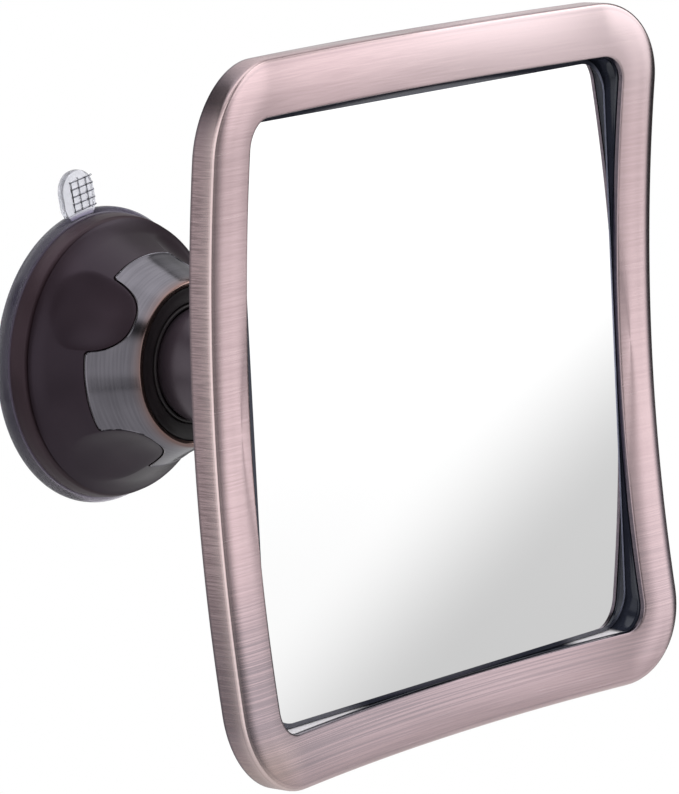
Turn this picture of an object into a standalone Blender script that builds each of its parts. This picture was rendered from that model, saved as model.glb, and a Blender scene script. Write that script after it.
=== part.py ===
"""A shower mirror on a ball joint and a twist-lock suction base.

The wall is the plane y = 0. The mirror faces -Y, with Z up. The base, the ball joint, the arm
and the head share one axis, which leaves the wall at the origin. A depth is a distance from the
wall along that axis. A level is a distance in front of HEAD_DEPTH, where the frame's crease
would be at the head's middle. Lengths are in metres, and angles are in degrees where a name
ends in _DEG.
"""
from math import acos, asin, cos, pi, radians, sin

import bmesh
import bpy
from mathutils import Matrix, Vector

# Shared clearances and wall sizes
GAP = 0.0003
CUT_OVERRUN = 0.0010

# How finely round shapes are divided
WIDE_STEPS = 40
SMALL_STEPS = 20
SCREW_STEPS = 10
ARC_STEPS = 5
CORNER_STEPS = 6
SIDE_STEPS = 6

# Suction disc with its pull tab
DISC_RADIUS = 0.0446
DISC_RIM_HEIGHT = 0.0012
DISC_CHAMFER = 0.0014
DISC_THICKNESS = 0.0034
DISC_SEAT_WIDTH = 0.0080
DISC_SKIN = 0.0022
DISC_FILLET = 0.0014
BOSS_WALL = 0.0018
BOSS_HEIGHT = 0.0090
TAB_WIDTH = 0.0132
TAB_REACH = 0.0130
TAB_OVERLAP = 0.0030
TAB_THICKNESS = 0.0024
TAB_LIFT = 0.0004
TAB_CORNER = 0.0062
TAB_ANGLE_DEG = 99.4

# Stud that pulls the disc's middle, its pin and its spring
DRAW_TRAVEL = 0.0030
STUD_HEAD_RADIUS = 0.0055
STUD_HEAD_BACK = 0.0031
STUD_HEAD_THICKNESS = 0.0024
STUD_RADIUS = 0.0040
STUD_SHOULDER_WALL = 0.0008
STUD_NOSE_RADIUS = 0.0026
STUD_NOSE_LENGTH = 0.0020
PIN_RADIUS = 0.0015
PIN_DEPTH = 0.0175
PIN_REACH = 0.0145
SPRING_WIRE_RADIUS = 0.0004
SPRING_RADIUS = 0.0044
SPRING_TURNS = 2.5
SPRING_POINTS_PER_TURN = 14
SPRING_SIDES = 6

# Base housing: the ring on the disc and the hub in its middle
HOUSING_RADIUS = 0.0428
HOUSING_TAPER = 0.0008
HOUSING_HEIGHT = 0.0053
HOUSING_WALL = 0.0048
HOUSING_PLATE = 0.0030
HUB_RADIUS = 0.0102
HUB_BORE = 0.0062
HUB_END = 0.0257
HUB_THROAT = 0.0016
HUB_THROAT_ROOM = 0.0006
SLOT_END_ROOM = 0.0007

# Thrust washer
WASHER_INNER = 0.0120
WASHER_OUTER = 0.0180
WASHER_THICKNESS = 0.0008

# Twist knob
KNOB_GROOVE = 0.0006
KNOB_FOOT_RADIUS = 0.0399
KNOB_FLARE = 0.0016
KNOB_FLARE_HEIGHT = 0.0045
KNOB_SAG = 0.0010
KNOB_TOP = 0.0358
KNOB_BORE_WALL = 0.0025
KNOB_SKIRT_WALL = 0.0040
KNOB_INNER_FOOT = 0.0330
KNOB_INNER_TOP = 0.0208
CAM_OUTER = 0.0150
CAM_ROOM = 0.0006
DENT_COUNT = 4
DENT_ANGLE_DEG = 145.0
DENT_HALF_DEG = 22.0
DENT_MIDDLE = 0.0205
DENT_RISE = 0.0143
DENT_DROP = 0.0085
DENT_DEPTH = 0.0026
DENT_FULLNESS = 2.3
DENT_COLUMNS = 6
LUG_COLUMNS = 2
LUG_CORNER = 0.0014
KNOB_ROWS = 7
SEAT_ROWS = 2

# Crown over the knob's front
CROWN_FRONT = 0.0396
CROWN_RADIUS = 0.0246
CROWN_BORE = 0.0232
CROWN_WALL = 0.0014
CROWN_PROUD = 0.0002
CROWN_EDGE = 0.0003
CROWN_ROUND = 0.0006
LUG_END = 0.0232
CROWN_ROWS = 3

# Dish in the crown's mouth, with the well of the ball joint
DISH_FRONT = 0.0389
DISH_EDGE = 0.0015
DISH_WALL = 0.0020
DISH_FLOOR_WALL = 0.0025
WELL_MOUTH = 0.0163
WELL_STEP = 0.0374
WELL_BELLY = 0.0156
WELL_BELLY_DEPTH = 0.0318
WELL_FLOOR_RADIUS = 0.0122
DUST_RING_RADIUS = 0.01725
DUST_RING_SECTION = 0.0006
DISH_LIP_RISE = 0.0009

# Ball joint
BALL_DEPTH = 0.0466
BALL_RADIUS = 0.0095
NECK_RADIUS = 0.0042
FLANGE_RADIUS = 0.0105
FLANGE_THICKNESS = 0.0022
SEAT_WALL = 0.0024
SEAT_OPENING_DEG = 55.0
SHELL_RADIUS = 0.0182
SHELL_SKIRT_DEG = 62.0
RING_RADIUS = 0.0160
RING_OPENING_DEG = 52.0
SHELL_SEAM_SETBACK = 0.0068
SHELL_NECK_RADIUS = 0.0090
SHELL_NECK_REACH = 0.0196
SOCKET_SCREW_COUNT = 3
SOCKET_SCREW_CIRCLE = 0.0082
SOCKET_SCREW_FIRST_DEG = 90.0
SOCKET_SCREW_RADIUS = 0.0009
SOCKET_SCREW_HEAD_RADIUS = 0.0017
SOCKET_SCREW_HEAD = 0.0012
SOCKET_SCREW_LENGTH = 0.0090

# Arm
ARM_RADIUS = 0.0075
ARM_LENGTH = 0.0338
SPIGOT_RADIUS = 0.0060
SPIGOT_ROOM = 0.0009
ARM_FLANGE_RADIUS = 0.0110
ARM_FLANGE_THICKNESS = 0.0023
ARM_FLARE = 0.0040
ARM_SCREW_RADIUS = 0.0015
ARM_SCREW_SETBACK = 0.0022
ARM_SCREW_INNER = 0.0046
ARM_SCREW_OUTER = 0.0087
FRICTION_WASHER = 0.0007

# Swivel behind the head
MOUNT_RADIUS = 0.0270
MOUNT_THICKNESS = 0.0040
MOUNT_CHAMFER = 0.0010
COLLAR_RADIUS = 0.0150
COLLAR_HEIGHT = 0.0060
COUNTERBORE_RADIUS = 0.0100
COUNTERBORE_DEPTH = 0.0033
SPRING_WASHER_BORE = 0.0034
SPRING_WASHER_THICKNESS = 0.0007
SWIVEL_SCREW_HEAD_RADIUS = 0.0060
SWIVEL_SCREW_HEAD = 0.0016
SWIVEL_SCREW_RADIUS = 0.0030
SWIVEL_SCREW_LENGTH = 0.0070
MOUNT_SCREW_COUNT = 4
MOUNT_SCREW_CIRCLE = 0.0205
MOUNT_SCREW_RADIUS = 0.0015
MOUNT_SCREW_HEAD_RADIUS = 0.0028
MOUNT_SCREW_HEAD = 0.0018
MOUNT_BOSS_RADIUS = 0.0032
MOUNT_BOSS_HEIGHT = 0.0040

# Head: the crease is the outer top edge of the frame, bowed forward towards the corners
HEAD_WIDTH = 0.1949
HEAD_HEIGHT = 0.2030
HEAD_CORNER = 0.0250
HEAD_BOW = 0.0090
SIDE_WALL = 0.0072
SHEET = 0.0013
CREASE_ROUND = 0.0011
CREASE_ROUND_SHARE = 0.3
FACE_MARGIN = 0.0159
FACE_RISE = 0.0025
FACE_FULLNESS = 2.7
FACE_ROWS = 4
EDGE_ROUND = 0.0005
OPENING_CORNER = 0.0079

# Mirror pane, liner and board
PANE_FRONT = 0.0081
PANE_THICKNESS = 0.0030
PANE_CORNER = 0.0114
PANE_BEVEL = 0.0006
LINER_WALL = 0.0029
LEDGE_WIDTH = 0.0026
LEDGE_THICKNESS = 0.0015
LEDGE_CORNER = 0.0111
TAPE_COUNT = 3
TAPE_WIDTH = 0.1200
TAPE_HEIGHT = 0.0140
TAPE_PITCH = 0.0500
BOARD_INSET = 0.0140
BOARD_CORNER = 0.0140
BOARD_THICKNESS = 0.0017
POST_RADIUS = 0.0035
POST_INSET_ACROSS = 0.03545
POST_INSET_UP = 0.0365

# Back cover
COVER_BACK = 0.0110
COVER_WALL = 0.0020
COVER_RIM_LEVEL = 0.0020
COVER_RIM_FOOT = 0.0070
COVER_FLAT_INSET = 0.0200
COVER_FLAT_CORNER = 0.0120
COVER_ROWS = 3
COVER_SCREW_RADIUS = 0.0015
COVER_SCREW_HEAD_RADIUS = 0.0030
COVER_SCREW_HEAD = 0.0018
COVER_SCREW_LENGTH = 0.0090

# Values that follow from the sizes above
DRAW_BORE = STUD_RADIUS + GAP
STUD_SHOULDER = PIN_DEPTH + PIN_RADIUS + GAP + STUD_SHOULDER_WALL
HOUSING_BACK = DISC_THICKNESS + GAP
HOUSING_FRONT = HOUSING_BACK + HOUSING_HEIGHT
BOSS_POCKET = STUD_HEAD_RADIUS + GAP
BOSS_RADIUS = BOSS_POCKET + BOSS_WALL
HUB_CAVITY = BOSS_RADIUS + GAP
HUB_CAVITY_TOP = BOSS_HEIGHT + DRAW_TRAVEL + HUB_THROAT_ROOM
WASHER_BACK = HOUSING_FRONT + GAP
KNOB_PLATE_BACK = WASHER_BACK + WASHER_THICKNESS + GAP
KNOB_BACK = HOUSING_FRONT + KNOB_GROOVE
KNOB_PLATE_FRONT = KNOB_PLATE_BACK + KNOB_BORE_WALL
KNOB_SEAT_DROP = CROWN_WALL + GAP - CROWN_PROUD
DISH_BACK = HUB_END + GAP
DISH_FLOOR = DISH_BACK + DISH_FLOOR_WALL
FLANGE_BACK = DISH_FLOOR + GAP
FLANGE_FRONT = FLANGE_BACK + FLANGE_THICKNESS
SEAT_INNER = BALL_RADIUS + GAP
SEAT_OUTER = SEAT_INNER + SEAT_WALL
SHELL_INNER = SEAT_OUTER + GAP
SKIRT_INNER = RING_RADIUS + GAP
SHELL_SEAM = BALL_DEPTH - SHELL_SEAM_SETBACK
SHELL_NECK_END = BALL_DEPTH + SHELL_NECK_REACH
SPIGOT_BORE = SPIGOT_RADIUS + GAP
ARM_BACK = BALL_DEPTH + SHELL_INNER + SPIGOT_ROOM
ARM_FLANGE_BACK = SHELL_NECK_END + ARM_LENGTH
ARM_FLANGE_FRONT = ARM_FLANGE_BACK + ARM_FLANGE_THICKNESS
COLLAR_BACK = ARM_FLANGE_FRONT + GAP + FRICTION_WASHER + GAP
MOUNT_BACK = COLLAR_BACK + COLLAR_HEIGHT
MOUNT_FRONT = MOUNT_BACK + MOUNT_THICKNESS
COVER_OUTSIDE = MOUNT_FRONT + GAP
HEAD_DEPTH = COVER_OUTSIDE + COVER_BACK
COUNTERBORE_FLOOR = MOUNT_FRONT - COUNTERBORE_DEPTH
SPIGOT_END = COUNTERBORE_FLOOR - GAP
WASHER_SEAT = COUNTERBORE_FLOOR + GAP
SCREW_SEAT = WASHER_SEAT + SPRING_WASHER_THICKNESS + GAP
PANE_BACK = PANE_FRONT - PANE_THICKNESS
PANE_INSET = FACE_MARGIN + GAP
LEDGE_FRONT = PANE_BACK - GAP
LEDGE_BACK = LEDGE_FRONT - LEDGE_THICKNESS
BOARD_FRONT = LEDGE_BACK - GAP
BOARD_BACK = BOARD_FRONT - BOARD_THICKNESS
POST_ACROSS = HEAD_WIDTH / 2.0 - POST_INSET_ACROSS
POST_UP = HEAD_HEIGHT / 2.0 - POST_INSET_UP
COVER_INSIDE = COVER_WALL - COVER_BACK



def principled(name, colour, roughness, metallic=0.0, transmission=0.0):
    """Return a Principled BSDF material."""
    material = bpy.data.materials.new(name)
    material.use_nodes = True
    material.diffuse_color = (*colour, 1.0)
    shader = material.node_tree.nodes["Principled BSDF"]
    shader.inputs["Base Color"].default_value = (*colour, 1.0)
    shader.inputs["Roughness"].default_value = roughness
    shader.inputs["Metallic"].default_value = metallic
    shader.inputs["Transmission Weight"].default_value = transmission
    return material


def on_axis(radius, angle, depth, centre=(0.0, 0.0)):
    """Return the point at a radius and an angle round an axis square to the wall."""
    return Vector((centre[0] + radius * cos(angle), -depth, centre[1] + radius * sin(angle)))


def moving_frame(name, depth):
    """Return an empty on the object's axis that the pieces of one body hang from."""
    frame = bpy.data.objects.new(name, None)
    frame.location = (0.0, -depth, 0.0)
    bpy.context.collection.objects.link(frame)
    return frame


def finished_mesh(name, bm, material, origin):
    """Turn a bmesh into a smooth shaded mesh around the given point."""
    bmesh.ops.recalc_face_normals(bm, faces=bm.faces[:])
    bmesh.ops.translate(bm, verts=bm.verts[:], vec=-origin)
    mesh = bpy.data.meshes.new(name)
    bm.to_mesh(mesh)
    bm.free()
    mesh.shade_smooth()
    mesh.set_sharp_from_angle(angle=radians(30.0))
    mesh.materials.append(material)
    return mesh


def place(name, mesh, body, offset=(0.0, 0.0, 0.0)):
    """Return an object that hangs from a body's empty."""
    piece = bpy.data.objects.new(name, mesh)
    piece.parent = body
    piece.location = offset
    bpy.context.collection.objects.link(piece)
    return piece


def finish(name, bm, material, body):
    """Turn a bmesh into a named piece of a body."""
    return place(name, finished_mesh(name, bm, material, body.location), body)


def even_angles(steps):
    """Return angles that divide a full turn evenly."""
    return [2.0 * pi * k / steps for k in range(steps)]


def add_turned(bm, profile_at, angles, centre=(0.0, 0.0)):
    """Add a solid turned round an axis square to the wall.

    profile_at(angle) gives the section as (radius, depth) pairs, as many at every angle. The
    section is a closed loop, or runs from the axis back to the axis.
    """
    sections = [profile_at(angle) for angle in angles]
    count = len(sections[0])
    starts_on_axis = sections[0][0][0] == 0.0
    columns = []
    poles = {}
    for angle, section in zip(angles, sections):
        column = []
        for row, (radius, depth) in enumerate(section):
            if radius == 0.0:
                if row not in poles:
                    poles[row] = bm.verts.new(on_axis(0.0, 0.0, depth, centre))
                column.append(poles[row])
            else:
                column.append(bm.verts.new(on_axis(radius, angle, depth, centre)))
        columns.append(column)
    last_row = count - 1 if starts_on_axis else count
    for k, column in enumerate(columns):
        following = columns[(k + 1) % len(columns)]
        for row in range(last_row):
            after = (row + 1) % count
            corners = [column[row], column[after], following[after], following[row]]
            distinct = [v for i, v in enumerate(corners) if v not in corners[:i]]
            if len(distinct) > 2:
                bm.faces.new(distinct)


def turned(name, profile, material, body, steps=WIDE_STEPS):
    """Return one piece turned round the object's axis."""
    bm = bmesh.new()
    add_turned(bm, lambda angle: profile, even_angles(steps))
    return finish(name, bm, material, body)


def turned_copies(name, profile, centres, material, body):
    """Make numbered copies of a turned piece, one at each of the given centres."""
    bm = bmesh.new()
    add_turned(bm, lambda angle: profile, even_angles(SCREW_STEPS))
    mesh = finished_mesh(name, bm, material, body.location)
    for k, (across, up) in enumerate(centres, 1):
        place(f"{name}_{k}", mesh, body, (across, 0.0, up))


def circle_centres(count, radius, first_deg):
    """Return centres spread evenly round the object's axis."""
    angles = [radians(first_deg) + 2.0 * pi * k / count for k in range(count)]
    return [(radius * cos(angle), radius * sin(angle)) for angle in angles]


def ball_arc(radius, start, end, steps=ARC_STEPS):
    """Return an arc of a ball's section; angles are measured from the wall side of its axis."""
    angles = [start + (end - start) * k / steps for k in range(steps + 1)]
    return [(radius * sin(a), BALL_DEPTH - radius * cos(a)) for a in angles]


def clear_of_ball(radius, depth):
    """Return a radius at a depth, widened where the hollow ball would reach past it."""
    reach = (SHELL_RADIUS + GAP) ** 2 - (BALL_DEPTH - depth) ** 2
    return max(radius, max(reach, 0.0) ** 0.5)


def make_cutter(name, bm):
    """Return a hidden object that Boolean modifiers cut with."""
    mesh = finished_mesh(name, bm, bpy.data.materials.new(name), Vector())
    cutter = place(name, mesh, None)
    cutter.hide_render = True
    cutter.display_type = "WIRE"
    return cutter


def use_boolean(piece, other, operation="DIFFERENCE"):
    """Cut a piece with another object, or join the two."""
    modifier = piece.modifiers.new(other.name, "BOOLEAN")
    modifier.operation = operation
    modifier.object = other
    modifier.solver = "EXACT"


def round_tool(name, profile, centres, steps=SCREW_STEPS):
    """Return a cutter made of equal turned solids."""
    bm = bmesh.new()
    for centre in centres:
        add_turned(bm, lambda angle: profile, even_angles(steps), centre)
    return make_cutter(name, bm)


def add_box(bm, low, high):
    """Add a box between two opposite corners."""
    middle = (low + high) / 2.0
    size = high - low
    matrix = Matrix.Translation(middle) @ Matrix.Diagonal((size.x, size.y, size.z, 1.0))
    bmesh.ops.create_cube(bm, size=1.0, matrix=matrix)


def add_rod(bm, start, end, radius, steps=SCREW_STEPS):
    """Add a round rod between two points."""
    span = end - start
    turn = span.to_track_quat("Z", "Y").to_matrix().to_4x4()
    matrix = Matrix.Translation((start + end) / 2.0) @ turn
    bmesh.ops.create_cone(
        bm, cap_ends=True, segments=steps, radius1=radius, radius2=radius, depth=span.length,
        matrix=matrix)


def rounded_outline(half_width, half_height, corner, sides=SIDE_STEPS, corners=CORNER_STEPS):
    """Return a rounded rectangle as (across, up) pairs, anticlockwise from its right side."""
    points = []
    for turn, (east, north) in enumerate(((1, 1), (-1, 1), (-1, -1), (1, -1))):
        centre = Vector((east * (half_width - corner), north * (half_height - corner)))
        for k in range(corners + 1):
            angle = pi / 2.0 * (turn + k / corners)
            points.append(centre + corner * Vector((cos(angle), sin(angle))))
        east, north = ((-1, 1), (-1, -1), (1, -1), (1, 1))[turn]
        following = Vector((east * (half_width - corner), north * (half_height - corner)))
        angle = pi / 2.0 * (turn + 1)
        target = following + corner * Vector((cos(angle), sin(angle)))
        start = points[-1]
        points += [start.lerp(target, k / sides) for k in range(1, sides)]
    return points


def head_ring(inset, corner, bow_share, level):
    """Return one ring of a head piece, inset from the frame's outer edge."""
    ring = []
    for point in rounded_outline(HEAD_WIDTH / 2.0 - inset, HEAD_HEIGHT / 2.0 - inset, corner):
        across = point.x / (HEAD_WIDTH / 2.0)
        up = point.y / (HEAD_HEIGHT / 2.0)
        bow = HEAD_BOW * (across ** 2 + up ** 2)
        ring.append(Vector((point.x, -(HEAD_DEPTH + bow_share * bow + level), point.y)))
    return ring


def lofted(name, rings, material, body, closed=True):
    """Return a piece through rings of equal length, closed on itself or capped at both ends."""
    bm = bmesh.new()
    rows = [[bm.verts.new(point) for point in ring] for ring in rings]
    count = len(rows[0])
    pairs = list(zip(rows, rows[1:]))
    if closed:
        pairs.append((rows[-1], rows[0]))
    for first, second in pairs:
        for k in range(count):
            after = (k + 1) % count
            bm.faces.new((first[k], first[after], second[after], second[k]))
    if not closed:
        bm.faces.new(rows[0])
        bm.faces.new(rows[-1])
    return finish(name, bm, material, body)


def frame_corner(inset):
    """Return the frame's corner radius at an inset from its outer edge."""
    return HEAD_CORNER + (OPENING_CORNER - HEAD_CORNER) * inset / FACE_MARGIN


def face_level(inset):
    """Return how far the domed face stands in front of the crease surface."""
    share = max(1.0 - inset / FACE_MARGIN, 0.0)
    return FACE_RISE * (1.0 - share ** FACE_FULLNESS)


def knob_radius(depth):
    """Return the knob's plain outer radius, before its dents."""
    share = (depth - KNOB_BACK) / (CROWN_FRONT - KNOB_BACK)
    radius = KNOB_FOOT_RADIUS + (CROWN_RADIUS - KNOB_FOOT_RADIUS) * share
    radius -= KNOB_SAG * 4.0 * share * (1.0 - share)
    flare = 1.0 - (depth - KNOB_BACK) / KNOB_FLARE_HEIGHT
    return radius + KNOB_FLARE * max(flare, 0.0) ** 2


def dent_share(angle):
    """Return how far an angle lies from the nearest dent's middle, in half widths of a dent."""
    pitch = 2.0 * pi / DENT_COUNT
    offset = (angle - radians(DENT_ANGLE_DEG) + pitch / 2.0) % pitch - pitch / 2.0
    return abs(offset) / radians(DENT_HALF_DEG)


def dent_depth(angle, depth):
    """Return how deep a dent is pressed at an angle and a depth."""
    half = DENT_RISE if depth > DENT_MIDDLE else DENT_DROP
    along = abs(depth - DENT_MIDDLE) / half
    reach = dent_share(angle) ** DENT_FULLNESS + along ** DENT_FULLNESS
    return DENT_DEPTH * max(1.0 - reach, 0.0)


def crown_edge(angle):
    """Return the depth of the crown's edge: a lug's end, or the rim of a dent."""
    share = min(dent_share(angle), 1.0)
    rim = (1.0 - share ** DENT_FULLNESS) ** (1.0 / DENT_FULLNESS)
    return max(LUG_END, DENT_MIDDLE + DENT_RISE * rim)


def knob_angles():
    """Return the knob's angles, close together where the crown's edge is steep."""
    lug_rim = (LUG_END - DENT_MIDDLE) / DENT_RISE
    steepest = acos(lug_rim ** (DENT_FULLNESS / 2.0))
    halves = []
    for k in range(DENT_COLUMNS + 1):
        turn = steepest * k / DENT_COLUMNS
        halves.append(radians(DENT_HALF_DEG) * sin(turn) ** (2.0 / DENT_FULLNESS))
    corner = halves[-1] + LUG_CORNER / knob_radius(LUG_END)
    ridge = pi / DENT_COUNT
    halves += [corner + (ridge - corner) * k / LUG_COLUMNS for k in range(LUG_COLUMNS + 1)]
    around = [-a for a in halves[:0:-1]] + halves[:-1]
    pitch = 2.0 * pi / DENT_COUNT
    middles = [radians(DENT_ANGLE_DEG) + pitch * k for k in range(DENT_COUNT)]
    return [middle + offset for middle in middles for offset in around]


def cam_height(angle):
    """Return the cam's height at an angle: it climbs over one quarter and falls over the next."""
    share = (angle / (pi / 2.0)) % 2.0
    climb = share if share < 1.0 else 2.0 - share
    return PIN_DEPTH - PIN_RADIUS - CAM_ROOM + DRAW_TRAVEL * climb


def knob_profile(angle):
    """Return the knob's section at an angle as a closed loop."""
    edge = crown_edge(angle)
    loop = [(KNOB_FOOT_RADIUS + KNOB_FLARE - KNOB_SKIRT_WALL, KNOB_BACK)]
    for k in range(KNOB_ROWS + 1):
        depth = KNOB_BACK + (edge - KNOB_BACK) * k / KNOB_ROWS
        loop.append((knob_radius(depth) - dent_depth(angle, depth), depth))
    for k in range(SEAT_ROWS + 1):
        depth = edge + (KNOB_TOP - edge) * k / SEAT_ROWS
        loop.append((knob_radius(depth) - KNOB_SEAT_DROP, depth))
    loop.append((KNOB_INNER_TOP, KNOB_TOP))
    loop.append((KNOB_INNER_FOOT, KNOB_PLATE_FRONT))
    loop.append((CAM_OUTER, KNOB_PLATE_FRONT))
    loop.append((CAM_OUTER, cam_height(angle)))
    loop.append((HUB_RADIUS + GAP, cam_height(angle)))
    loop.append((HUB_RADIUS + GAP, KNOB_PLATE_BACK))
    loop.append((KNOB_FOOT_RADIUS + KNOB_FLARE - KNOB_SKIRT_WALL, KNOB_PLATE_BACK))
    return loop


def crown_profile(angle):
    """Return the crown's section at an angle as a closed loop."""
    aside = GAP / CROWN_RADIUS
    edge = max(crown_edge(angle - aside), crown_edge(angle + aside)) + CROWN_EDGE
    top = CROWN_FRONT - CROWN_ROUND
    loop = [(knob_radius(edge), edge)]
    for k in range(CROWN_ROWS + 1):
        depth = edge + CROWN_EDGE + (top - edge - CROWN_EDGE) * k / CROWN_ROWS
        loop.append((knob_radius(depth) + CROWN_PROUD, depth))
    loop.append((CROWN_RADIUS - CROWN_ROUND, CROWN_FRONT))
    loop.append((CROWN_BORE, top))
    lip = KNOB_TOP + GAP
    loop.append((CROWN_BORE, lip))
    for k in range(CROWN_ROWS):
        depth = lip + (edge - lip) * k / (CROWN_ROWS - 1)
        loop.append((knob_radius(depth) + CROWN_PROUD - CROWN_WALL, depth))
    return loop


def build_suction_disc(base, clear):
    """Build the disc, with the pocket that holds the stud's head, and its pull tab."""
    seat = DISC_RADIUS - DISC_CHAMFER - DISC_SEAT_WIDTH
    pocket_top = STUD_HEAD_BACK + STUD_HEAD_THICKNESS + GAP
    profile = [
        (0.0, 0.0),
        (DISC_RADIUS, 0.0),
        (DISC_RADIUS, DISC_RIM_HEIGHT),
        (DISC_RADIUS - DISC_CHAMFER, DISC_THICKNESS),
        (seat, DISC_THICKNESS),
        (seat - DISC_FILLET, DISC_SKIN),
        (BOSS_RADIUS + DISC_FILLET, DISC_SKIN),
        (BOSS_RADIUS, DISC_THICKNESS),
        (BOSS_RADIUS, BOSS_HEIGHT),
        (DRAW_BORE, BOSS_HEIGHT),
        (DRAW_BORE, pocket_top),
        (BOSS_POCKET, pocket_top),
        (BOSS_POCKET, STUD_HEAD_BACK - GAP),
        (0.0, STUD_HEAD_BACK - GAP),
    ]
    disc = turned("suction_disc", profile, clear, base)
    reach = DISC_RADIUS + TAB_REACH
    start = DISC_RADIUS - TAB_OVERLAP
    bm = bmesh.new()
    outline = rounded_outline(TAB_WIDTH / 2.0, (reach - start) / 2.0, TAB_CORNER, 1, CORNER_STEPS)
    back = [bm.verts.new((p.x, -TAB_LIFT, p.y + (reach + start) / 2.0)) for p in outline]
    base = bm.faces.new(back)
    moved = bmesh.ops.extrude_face_region(bm, geom=[base])["geom"]
    front = [v for v in moved if isinstance(v, bmesh.types.BMVert)]
    bmesh.ops.translate(bm, verts=front, vec=(0.0, -TAB_THICKNESS, 0.0))
    lean = Matrix.Rotation(radians(90.0 - TAB_ANGLE_DEG), 4, "Y")
    bmesh.ops.transform(bm, matrix=lean, verts=bm.verts[:])
    use_boolean(disc, make_cutter("tab_join", bm), "UNION")


def build_draw_parts(base, stud_body, steel, brass):
    """Build the stud, its cross pin and its spring."""
    profile = [
        (0.0, STUD_HEAD_BACK),
        (STUD_HEAD_RADIUS, STUD_HEAD_BACK),
        (STUD_HEAD_RADIUS, STUD_HEAD_BACK + STUD_HEAD_THICKNESS),
        (STUD_RADIUS, STUD_HEAD_BACK + STUD_HEAD_THICKNESS),
        (STUD_RADIUS, STUD_SHOULDER),
        (STUD_NOSE_RADIUS, STUD_SHOULDER),
        (STUD_NOSE_RADIUS, STUD_SHOULDER + STUD_NOSE_LENGTH),
        (0.0, STUD_SHOULDER + STUD_NOSE_LENGTH),
    ]
    stud = turned("draw_stud", profile, brass, stud_body, SMALL_STEPS)
    hole = bmesh.new()
    overrun = STUD_HEAD_RADIUS + CUT_OVERRUN
    start = Vector((-overrun, -PIN_DEPTH, 0.0))
    add_rod(hole, start, Vector((overrun, -PIN_DEPTH, 0.0)), PIN_RADIUS + GAP)
    use_boolean(stud, make_cutter("pin_hole", hole))
    pin = bmesh.new()
    start = Vector((-PIN_REACH, -PIN_DEPTH, 0.0))
    add_rod(pin, start, Vector((PIN_REACH, -PIN_DEPTH, 0.0)), PIN_RADIUS)
    finish("cross_pin", pin, steel, stud_body)
    build_return_spring(base, steel)


def build_return_spring(base, steel):
    """Build the coil between the stud's shoulder and the dish."""
    low = STUD_SHOULDER + GAP + SPRING_WIRE_RADIUS
    high = HUB_END - SPRING_WIRE_RADIUS
    steps = int(SPRING_TURNS * SPRING_POINTS_PER_TURN)
    bm = bmesh.new()
    rings = []
    for k in range(steps + 1):
        turn = 2.0 * pi * SPRING_TURNS * k / steps
        depth = low + (high - low) * k / steps
        ring = []
        for side in range(SPRING_SIDES):
            angle = 2.0 * pi * side / SPRING_SIDES
            radius = SPRING_RADIUS + SPRING_WIRE_RADIUS * cos(angle)
            ring.append(bm.verts.new(
                on_axis(radius, turn, depth + SPRING_WIRE_RADIUS * sin(angle))))
        rings.append(ring)
    for first, second in zip(rings, rings[1:]):
        for side in range(SPRING_SIDES):
            after = (side + 1) % SPRING_SIDES
            bm.faces.new((first[side], first[after], second[after], second[side]))
    bm.faces.new(rings[0])
    bm.faces.new(rings[-1])
    finish("return_spring", bm, steel, base)


def build_base_housing(base, dark):
    """Build the ring on the disc with its hub, and cut the pin's slots and the screw holes."""
    plate_back = HOUSING_FRONT - HOUSING_PLATE
    inner = HOUSING_RADIUS - HOUSING_WALL
    profile = [
        (HOUSING_RADIUS, HOUSING_BACK),
        (HOUSING_RADIUS - HOUSING_TAPER, HOUSING_FRONT),
        (HUB_RADIUS, HOUSING_FRONT),
        (HUB_RADIUS, HUB_END),
        (HUB_BORE, HUB_END),
        (HUB_BORE, HUB_CAVITY_TOP + HUB_THROAT),
        (DRAW_BORE, HUB_CAVITY_TOP + HUB_THROAT),
        (DRAW_BORE, HUB_CAVITY_TOP),
        (HUB_CAVITY, HUB_CAVITY_TOP),
        (HUB_CAVITY, plate_back),
        (inner, plate_back),
        (inner, HOUSING_BACK),
    ]
    housing = turned("base_housing", profile, dark, base)
    slot = bmesh.new()
    side = HUB_RADIUS + CUT_OVERRUN
    back = PIN_DEPTH - PIN_RADIUS - SLOT_END_ROOM
    front = PIN_DEPTH + PIN_RADIUS + DRAW_TRAVEL + SLOT_END_ROOM
    half = PIN_RADIUS + GAP
    add_box(slot, Vector((-side, -front, -half)), Vector((side, -back, half)))
    use_boolean(housing, make_cutter("pin_slots", slot))
    return housing


def build_knob(knob, dark, plated):
    """Build the twist knob and the crown over its front."""
    angles = knob_angles()
    bm = bmesh.new()
    add_turned(bm, knob_profile, angles)
    finish("twist_knob", bm, dark, knob)
    bm = bmesh.new()
    add_turned(bm, crown_profile, angles)
    finish("crown", bm, plated, knob)


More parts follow.
